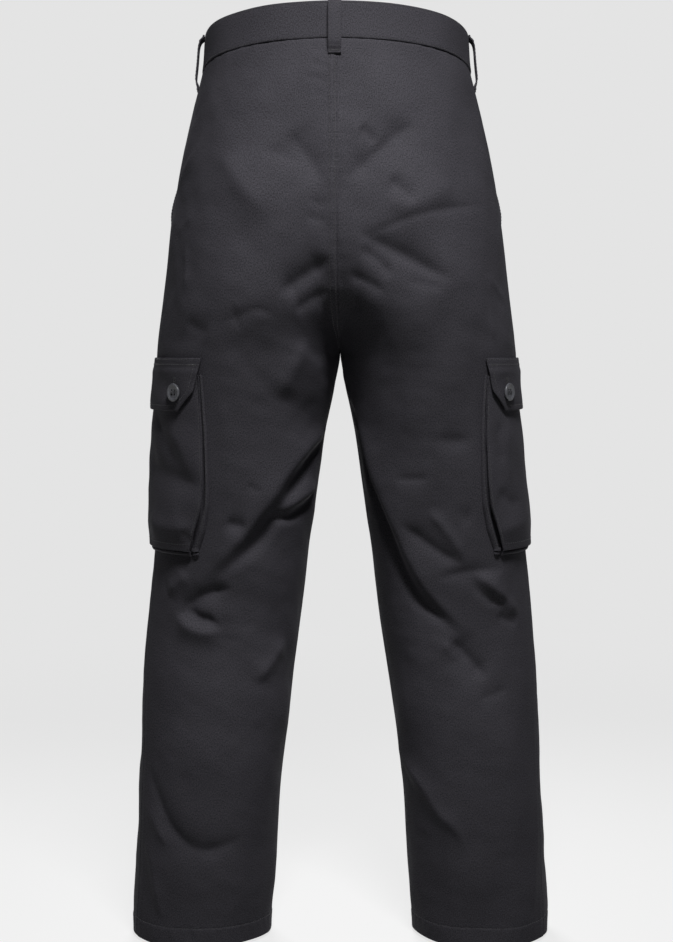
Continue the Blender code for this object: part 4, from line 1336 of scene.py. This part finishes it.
def make_resin():
    material = bpy.data.materials.new("button resin")
    material.use_nodes = True
    tree = material.node_tree
    shader = tree.nodes["Principled BSDF"]
    place = add(tree, "ShaderNodeTexCoord")
    cloud = add(tree, "ShaderNodeTexNoise", Vector=place.outputs["Object"], Scale=260.0, Detail=3.0)
    tone = add(tree, "ShaderNodeMix", {"data_type": "RGBA"}, i0=cloud.outputs[0],
               i6=linear("#45464B"), i7=linear("#77787E"))
    tree.links.new(tone.outputs[2], shader.inputs["Base Color"])
    worn = add(tree, "ShaderNodeMapRange", Value=cloud.outputs[0], To_Min=0.28, To_Max=0.44)
    tree.links.new(worn.outputs[0], shader.inputs["Roughness"])
    shader.inputs["Specular IOR Level"].default_value = 0.5
    return material


def spun(name, profile, sides):
    """A closed body spun round z from (radius, height) rows that start and end on the axis."""
    turn = np.linspace(0, 2 * np.pi, sides, endpoint=False)
    ring = np.stack([np.cos(turn), np.sin(turn)], axis=1)
    points = [(0, 0, profile[0][1]), (0, 0, profile[-1][1])]
    for r, z in profile[1:-1]:
        points += [(r * x, r * y, z) for x, y in ring]
    faces = []
    for k in range(len(profile) - 3):
        for i in range(sides):
            a, b = 2 + k * sides + i, 2 + k * sides + (i + 1) % sides
            faces.append((a, b, b + sides, a + sides))
    top = 2 + (len(profile) - 3) * sides
    for i in range(sides):
        j = (i + 1) % sides
        faces += [(0, 2 + j, 2 + i), (1, top + i, top + j)]
    mesh = bpy.data.meshes.new(name)
    mesh.from_pydata(points, [], faces)
    return bpy.data.objects.new(name, mesh)


def baked(thing):
    """The mesh of an object with its modifiers applied. The object itself goes."""
    bpy.context.scene.collection.objects.link(thing)
    bpy.context.view_layer.update()
    graph = bpy.context.evaluated_depsgraph_get()
    mesh = bpy.data.meshes.new_from_object(thing.evaluated_get(graph))
    bpy.data.objects.remove(thing)
    return mesh


def button_mesh(radius):
    disc = spun("disc", [(r * radius, z * BUTTON_THICK) for r, z in BUTTON_PROFILE], BUTTON_SIDES)
    low, high = -0.2 * BUTTON_THICK, 1.2 * BUTTON_THICK
    drills = []
    for x in (-1, 1):
        for y in (-1, 1):
            drill = spun("drill", [(0, low), (BUTTON_HOLE, low), (BUTTON_HOLE, high),
                                   (0, high)], 20)
            drill.data.transform(Matrix.Translation(
                (x * BUTTON_HOLE_OFF, y * BUTTON_HOLE_OFF, 0)))
            bpy.context.scene.collection.objects.link(drill)
            cut = disc.modifiers.new("hole", "BOOLEAN")
            cut.operation, cut.solver, cut.object = "DIFFERENCE", "EXACT", drill
            drills.append(drill)
    mesh = baked(disc)
    for drill in drills:
        bpy.data.objects.remove(drill)
    return mesh


# %% [markdown]
# A button sits where its node of the frame sits. The cloth below gives its seat and its facing:
# two on each flap, which hang down from their buttonholes, and one at the front of the waistband.

# %% Buttons on their places
FLAP_BUTTON_X = 66 * MM
FLAP_BUTTON_H = -383 * MM
FLAP_BUTTON_R = 10 * MM
WAIST_BUTTON_R = 8.5 * MM
WAIST_BUTTON_IN = 14 * MM

resin = make_resin()


def button_places():
    """Node, radius, middle of the seat, way out and sideways direction of each button."""
    for side, word in SIDES:
        for end, where in ((1, "back"), (-1, "front")):
            s = end * FLAP_BUTTON_X + side * POCKET_TURN
            h = FLAP_BUTTON_H + np.array([-8, 0, 8]) * MM
            point, out = facing(side, h, s + np.array([[-8, 0, 8]] * 3) * MM, True)
            stand = flap_stand(h)[:, None, None] + FLAP_WALL
            yield f"flap_button_{word}_{where}", FLAP_BUTTON_R, point + out * stand, out[1, 1]
    h = np.array([-7, 0, 7]) * MM
    s = ends(h)[0][:, None] + WAIST_BUTTON_IN + np.array([[-7, 0, 7]] * 3) * MM
    point, out = facing(1, h, s, True)
    yield "waist_button", WAIST_BUTTON_R, point + out * BAND_PROUD, out[1, 1]


def seat_of(patch, hint):
    """Seat, way out and sideways direction of a 3 by 3 patch of points."""
    out = np.cross(patch[1, 2] - patch[1, 0], patch[2, 1] - patch[0, 1])
    out /= np.linalg.norm(out) * np.sign(out @ hint)
    right = np.cross((0, 0, 1), out)
    right /= np.linalg.norm(right)
    return patch[1, 1] + out * REST, out, right


buttons = []
button_meshes = {r: button_mesh(r) for r in (FLAP_BUTTON_R, WAIST_BUTTON_R)}
for node, radius, patch, hint in button_places():
    seat, out, right = seat_of(patch, hint)
    mesh = button_meshes[radius].copy()
    frame_of = Matrix(np.column_stack([right, np.cross(out, right), out])).to_4x4()
    mesh.transform(Matrix.Translation(seat) @ frame_of)
    mesh.shade_smooth()
    mesh.set_sharp_from_angle(angle=np.radians(35))
    mesh.materials.clear()
    mesh.materials.append(resin)
    piece = bpy.data.objects.new(node.replace("_button", "_disc"), mesh)
    bpy.context.scene.collection.objects.link(piece)
    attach(piece, "root")
    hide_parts(node)
    buttons.append((seat, out, right, radius))
print("buttons:", len(buttons))

# %% [markdown]
# ## Thread
#
# A row of stitches is the same small thing many times over, which is what Geometry Nodes is for.
# The tree takes edges that mark where a row runs, cuts them into equal steps and sets one stitch
# at each step, turned along the row and lying on the cloth. A stitch is a ball drawn out to a
# grain of rice. The same tree also lays the dense bars of a tack, where the stitches lie across
# the row and touch, and the teeth of the zip.

# %% Stitch tree
ROWS_OUT = "out"             # attribute of a row's points: the direction out of the cloth


def make_stitch_tree():
    tree = bpy.data.node_groups.new("stitches", "GeometryNodeTree")
    face = tree.interface
    face.new_socket("Geometry", in_out="INPUT", socket_type="NodeSocketGeometry")
    for name, value in (("Pitch", 0.004), ("Length", 0.0032), ("Width", 0.0006),
                        ("Height", 0.0005), ("Turn", 0.0)):
        face.new_socket(name, in_out="INPUT", socket_type="NodeSocketFloat").default_value = value
    face.new_socket("Material", in_out="INPUT", socket_type="NodeSocketMaterial")
    face.new_socket("Geometry", in_out="OUTPUT", socket_type="NodeSocketGeometry")
    given = add(tree, "NodeGroupInput").outputs
    curve = add(tree, "GeometryNodeMeshToCurve", Mesh=given["Geometry"])
    steps = add(tree, "GeometryNodeResampleCurve", {"mode": "LENGTH"}, Curve=curve.outputs[0],
                Length=given["Pitch"])
    out = add(tree, "GeometryNodeInputNamedAttribute", {"data_type": "FLOAT_VECTOR"},
              Name=ROWS_OUT)
    tangent = add(tree, "GeometryNodeInputTangent")
    lie = add(tree, "FunctionNodeAxesToRotation", {"primary_axis": "Z", "secondary_axis": "X"},
              i0=out.outputs[0], i1=tangent.outputs[0])
    chance = add(tree, "FunctionNodeRandomValue", {"data_type": "FLOAT"}, Seed=5)
    chance.inputs[2].default_value, chance.inputs[3].default_value = -0.06, 0.06
    turn = add(tree, "ShaderNodeMath", {"operation": "ADD"}, i0=given["Turn"],
               i1=chance.outputs[1])
    euler = add(tree, "ShaderNodeCombineXYZ", Z=turn.outputs[0])
    by = add(tree, "FunctionNodeEulerToRotation", Euler=euler.outputs[0])
    turned = add(tree, "FunctionNodeRotateRotation", {"rotation_space": "LOCAL"},
                 i0=lie.outputs[0], i1=by.outputs[0])
    ball = add(tree, "GeometryNodeMeshUVSphere", Segments=6, Rings=4, Radius=0.5)
    along = add(tree, "GeometryNodeTransform", Geometry=ball.outputs["Mesh"])
    along.inputs["Rotation"].default_value = (0.0, np.pi / 2, 0.0)
    size = add(tree, "ShaderNodeCombineXYZ", X=given["Length"], Y=given["Width"],
               Z=given["Height"])
    laid = add(tree, "GeometryNodeInstanceOnPoints", Points=steps.outputs[0],
               Instance=along.outputs[0], Rotation=turned.outputs[0], Scale=size.outputs[0])
    real = add(tree, "GeometryNodeRealizeInstances", Geometry=laid.outputs[0])
    coloured = add(tree, "GeometryNodeSetMaterial", Geometry=real.outputs[0],
                   Material=given["Material"])
    add(tree, "NodeGroupOutput", Geometry=coloured.outputs[0])
    return tree


stitch_tree = make_stitch_tree()


def stitched(rows, material, **inputs):
    """The mesh of stitches along rows, each a pair of points and directions out."""
    points = np.concatenate([row for row, _ in rows])
    out = np.concatenate([way + 0 * row for row, way in rows])
    starts = np.cumsum([0] + [len(row) for row, _ in rows])
    edges = [(i, i + 1) for a, b in zip(starts, starts[1:]) for i in range(a, b - 1)]
    mesh = bpy.data.meshes.new("rows")
    mesh.from_pydata(points.tolist(), edges, [])
    mesh.attributes.new(ROWS_OUT, "FLOAT_VECTOR", "POINT").data.foreach_set(
        "vector", out.astype(np.float32).ravel())
    thing = bpy.data.objects.new("rows", mesh)
    layer = thing.modifiers.new("stitches", "NODES")
    layer.node_group = stitch_tree
    values = {"Material": material, **inputs}
    for item in stitch_tree.interface.items_tree:
        if item.item_type == "SOCKET" and item.in_out == "INPUT" and item.name in values:
            layer[item.identifier] = values[item.name]
    return baked(thing)


# %% [markdown]
# The rows follow the finished grids, so each one lies exactly on its cloth. The seat seam, the
# hems, the pocket mouths, the fly, the band, the loops, the flaps and the pockets each have
# their own. Needle holes are 4 mm apart, the long stitch that is common on heavy twill.

# %% Rows of stitches
SIT = 0.02 * MM              # how far a stitch's middle lies above the cloth


def on_grid(grid, i, j):
    """A row along a grid at fractional rows i and columns j, with its directions."""
    out = sample(grid["out"], i, j)
    return sample(grid["outer"], i, j) + out * SIT, out


def by_value(value, row):
    """Fractional index of a value in a rising or falling row."""
    order = np.arange(len(row), dtype=float)
    return np.interp(value, row, order) if row[0] < row[-1] else np.interp(
        -np.asarray(value), -row, order)


def down_panel(grid, target, top, bottom):
    """A row down a panel at distance target(h) from its side seam, between two levels."""
    h = grid["h"]
    pick = np.flatnonzero((h <= top) & (h >= bottom))
    j = [by_value(target(h[i], grid["end"][i]), grid["s"][i]) for i in pick]
    return on_grid(grid, pick.astype(float), np.array(j))


def cloth_rows():
    """Rows on the panels."""
    back = panels["back", 1]
    for row in FELL_ROWS:
        yield down_panel(back, lambda h, end: end - row, PANEL_TOP - 1 * MM, CROTCH + 8 * MM)
    for grid in panels.values():
        i = by_value(HEM + HEM_ROW, grid["h"])
        j = np.arange(1.0, grid["s"].shape[1] - 1)
        yield on_grid(grid, i + 0 * j, j)
    for side, _ in SIDES:
        for row in MOUTH_ROWS:
            yield down_panel(panels["front", side], lambda h, end: float(mouth_edge(h)) - row,
                             PANEL_TOP - 1 * MM, MOUTH_END + 2 * MM)
    turn = np.radians(np.linspace(0, 84, 15))
    h = np.concatenate([np.linspace(PANEL_TOP, FLY_END + FLY_WIDTH, 40),
                        FLY_END + FLY_WIDTH * (1 - np.sin(turn[1:]))])
    w = np.concatenate([np.full(40, FLY_WIDTH), FLY_WIDTH * np.cos(turn[1:])])
    grid = panels["front", 1]
    i = by_value(h, grid["h"])
    s = [np.interp(k, np.arange(len(grid["h"])), grid["end"]) for k in i] + w
    j = [by_value(at, grid["s"][int(round(k))]) for at, k in zip(s, i)]
    yield on_grid(grid, i, np.array(j))


def inset(corners, distance):
    """A path moved inwards by distance, with its corners mitred."""
    run = np.diff(corners, axis=0)
    run /= np.linalg.norm(run, axis=1)[:, None]
    side = np.stack([run[:, 1], -run[:, 0]], axis=1)
    corner = (side[:-1] + side[1:]) / (1 + np.sum(side[:-1] * side[1:], axis=1))[:, None]
    return corners + distance * np.concatenate([side[:1], corner, side[-1:]])


def round_patch(grid, corners, rows=None):
    """A row on a flap or pocket, down one side, along the bottom and up the other."""
    both = np.concatenate([corners, corners[::-1][1:] * (-1, 1)])
    run = np.concatenate([[0], np.linalg.norm(np.diff(both, axis=0), axis=1).cumsum()])
    at = np.linspace(0, run[-1], int(run[-1] / (2 * MM)))
    x, h = (np.interp(at, run, both[:, k]) for k in (0, 1))
    i = by_value(h, grid["h"][:rows])
    j = [by_value(value, grid["x"][int(round(k))]) for value, k in zip(x, i)]
    return on_grid(grid, i, np.array(j))


def sewn_rows():
    """Rows on the band, the loops, the flaps and the pockets."""
    columns = np.arange(0.5, band["outer"].shape[1] - 13, 1.0)
    for row in BAND_ROWS:
        yield on_grid(band, by_value(row, band["depth"]) + 0 * columns, columns)
    for grid in loops:
        i = np.arange(2.0, len(grid["run"]) - 2)
        for w in (-LOOP_ROW, LOOP_ROW):
            yield on_grid(grid, i, by_value(w, grid["w"]) + 0 * i)
    for side, _ in SIDES:
        grid = flaps[side]
        columns = np.arange(3.0, grid["x"].shape[1] - 3)
        for depth in (1.6 * MM, FLAP_BAND - 1.8 * MM):
            yield on_grid(grid, by_value(FLAP_TOP - depth, grid["h"]) + 0 * columns, columns)
        edge = inset(FLAP_CORNERS, FLAP_STITCH)
        edge[0] = (np.interp(FLAP_TOP - FLAP_BAND, edge[1::-1, 1], edge[1::-1, 0]),
                   FLAP_TOP - FLAP_BAND)
        yield round_patch(grid, edge)
        rows = len(pockets[side]["h"]) - len(GUSSET)
        path = np.array([(half_width(POCKET_EDGES, h) - 2.2 * MM, h) for h in np.concatenate(
            [np.linspace(POCKET_TOP, POCKET_BOTTOM + 8 * MM, 60)])] + [(0, POCKET_BOTTOM + 8 * MM)])
        yield round_patch(pockets[side], path, rows)
        grid = pockets[side]
        foot = grid["outer"].shape[1] - 3.0
        i = np.arange(2.0, rows)
        for j in (2.0, foot):
            yield on_grid(grid, i, j + 0 * i)


rows = list(cloth_rows()) + list(sewn_rows())
print("rows of stitches:", len(rows))

# %% [markdown]
# Tacks and buttonholes are dense satin stitches across their row. A tack holds each end of a loop
# and each upper corner of a flap. A buttonhole is two such bars beside a slit, and a button is sewn
# on with two bars of thread over its holes.

# %% Tacks, buttonholes and thread in the buttons
def tack_rows():
    for grid in loops:
        j = by_value(np.linspace(-5.6, 5.6, 9) * MM, grid["w"])
        for at in (3.2 * MM, grid["run"][-1] - 3.2 * MM):
            yield on_grid(grid, by_value(at, grid["run"]) + 0 * j, j)
    for side, _ in SIDES:
        grid = flaps[side]
        for end in (-1, 1):
            x = end * np.linspace(85, 96, 8) * MM
            i = by_value(FLAP_TOP - FLAP_BAND + 1.5 * MM, grid["h"])
            yield on_grid(grid, i + 0 * x, by_value(x, grid["x"][int(round(i))]))


def buttonhole_rows():
    for side, _ in SIDES:
        grid = flaps[side]
        h = FLAP_BUTTON_H + np.linspace(-9, 16.5, 16) * MM
        i = by_value(h, grid["h"])
        for end in (-1, 1):
            for beside in (-1.25, 1.25):
                j = [by_value(end * FLAP_BUTTON_X + beside * MM, grid["x"][int(round(k))])
                     for k in i]
                yield on_grid(grid, i, np.array(j))
    h = by_value(21 * MM, band["depth"])
    j = np.interp(WAIST_BUTTON_IN + np.linspace(-14, 6, 12) * MM,
                  np.linalg.norm(np.diff(band["outer"][10], axis=0), axis=1).cumsum(),
                  np.arange(1, band["outer"].shape[1]))
    for beside in (-0.55, 0.55):
        yield on_grid(band, h + beside + 0 * j, j)


def button_thread_rows():
    for seat, out, right, _ in buttons:
        up = np.cross(out, right)
        for x in (-1, 1):
            middle = seat + out * 0.80 * BUTTON_THICK + right * x * BUTTON_HOLE_OFF
            points = middle + np.outer(np.linspace(-0.75, 0.75, 4) * MM, right)
            yield points, out + 0 * points


def merged(name, meshes):
    """One piece from several meshes."""
    bm = bmesh.new()
    for mesh in meshes:
        bm.from_mesh(mesh)
    mesh = meshes[0]
    bm.to_mesh(mesh)
    bm.free()
    mesh.shade_smooth()
    piece = bpy.data.objects.new(name, mesh)
    bpy.context.scene.collection.objects.link(piece)
    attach(piece, "root")
    print(f"{name}: {sum(len(p.vertices) - 2 for p in mesh.polygons)} triangles")
    return piece


def make_thread():
    material = bpy.data.materials.new("sewing thread")
    material.use_nodes = True
    shader = material.node_tree.nodes["Principled BSDF"]
    shader.inputs["Base Color"].default_value = linear("#2C2B2F")
    shader.inputs["Roughness"].default_value = 0.5
    shader.inputs["Sheen Weight"].default_value = 0.3
    return material


thread = make_thread()
across = np.pi / 2
merged("thread", [
    stitched(rows, thread, Pitch=4.0 * MM, Length=3.1 * MM, Width=0.85 * MM, Height=0.7 * MM),
    stitched(list(tack_rows()), thread, Pitch=0.62 * MM, Length=2.4 * MM, Width=0.6 * MM,
             Height=0.7 * MM, Turn=across),
    stitched(list(buttonhole_rows()), thread, Pitch=0.62 * MM, Length=2.2 * MM, Width=0.6 * MM,
             Height=0.8 * MM, Turn=across),
    stitched(list(button_thread_rows()), thread, Pitch=0.5 * MM, Length=3.6 * MM,
             Width=0.45 * MM, Height=0.9 * MM, Turn=across)])

# %% [markdown]
# ## Zip
#
# The teeth are two rows that lock, each half a step behind the other. The slider keeps the shape
# it has in the frame and only gets its metal: zinc with a thin dark plating, rubbed lighter where
# fingers and cloth touch it.

# %% Zip teeth and slider
TEETH = 3.0 * MM


def make_zinc():
    material = bpy.data.materials.new("blackened zinc")
    material.use_nodes = True
    tree = material.node_tree
    shader = tree.nodes["Principled BSDF"]
    place = add(tree, "ShaderNodeTexCoord")
    rub = add(tree, "ShaderNodeTexNoise", Vector=place.outputs["Object"], Scale=420.0, Detail=4.0)
    tone = add(tree, "ShaderNodeMix", {"data_type": "RGBA"}, i0=rub.outputs[0],
               i6=linear("#1C1C1E"), i7=linear("#55555A"))
    gloss = add(tree, "ShaderNodeMapRange", Value=rub.outputs[0], To_Min=0.34, To_Max=0.55)
    tree.links.new(tone.outputs[2], shader.inputs["Base Color"])
    tree.links.new(gloss.outputs[0], shader.inputs["Roughness"])
    shader.inputs["Metallic"].default_value = 0.9
    return material


def tooth_rows():
    middle = (zip_grid["outer"].shape[1] - 1) / 2
    i = np.linspace(0.6, len(zip_grid["outer"]) - 1.6, 50)
    for j, late in ((-0.9, 0.0), (0.9, 0.6)):
        point, out = on_grid(zip_grid, i + late, middle + j + 0 * i)
        yield point + out * 0.5 * MM, out


zinc = make_zinc()
merged("zip_teeth", [stitched(list(tooth_rows()), zinc, Pitch=TEETH, Length=3.4 * MM,
                              Width=1.3 * MM, Height=1.5 * MM, Turn=across)])
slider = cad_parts["zip_slider"]
slider.data.materials.clear()
slider.data.materials.append(zinc)
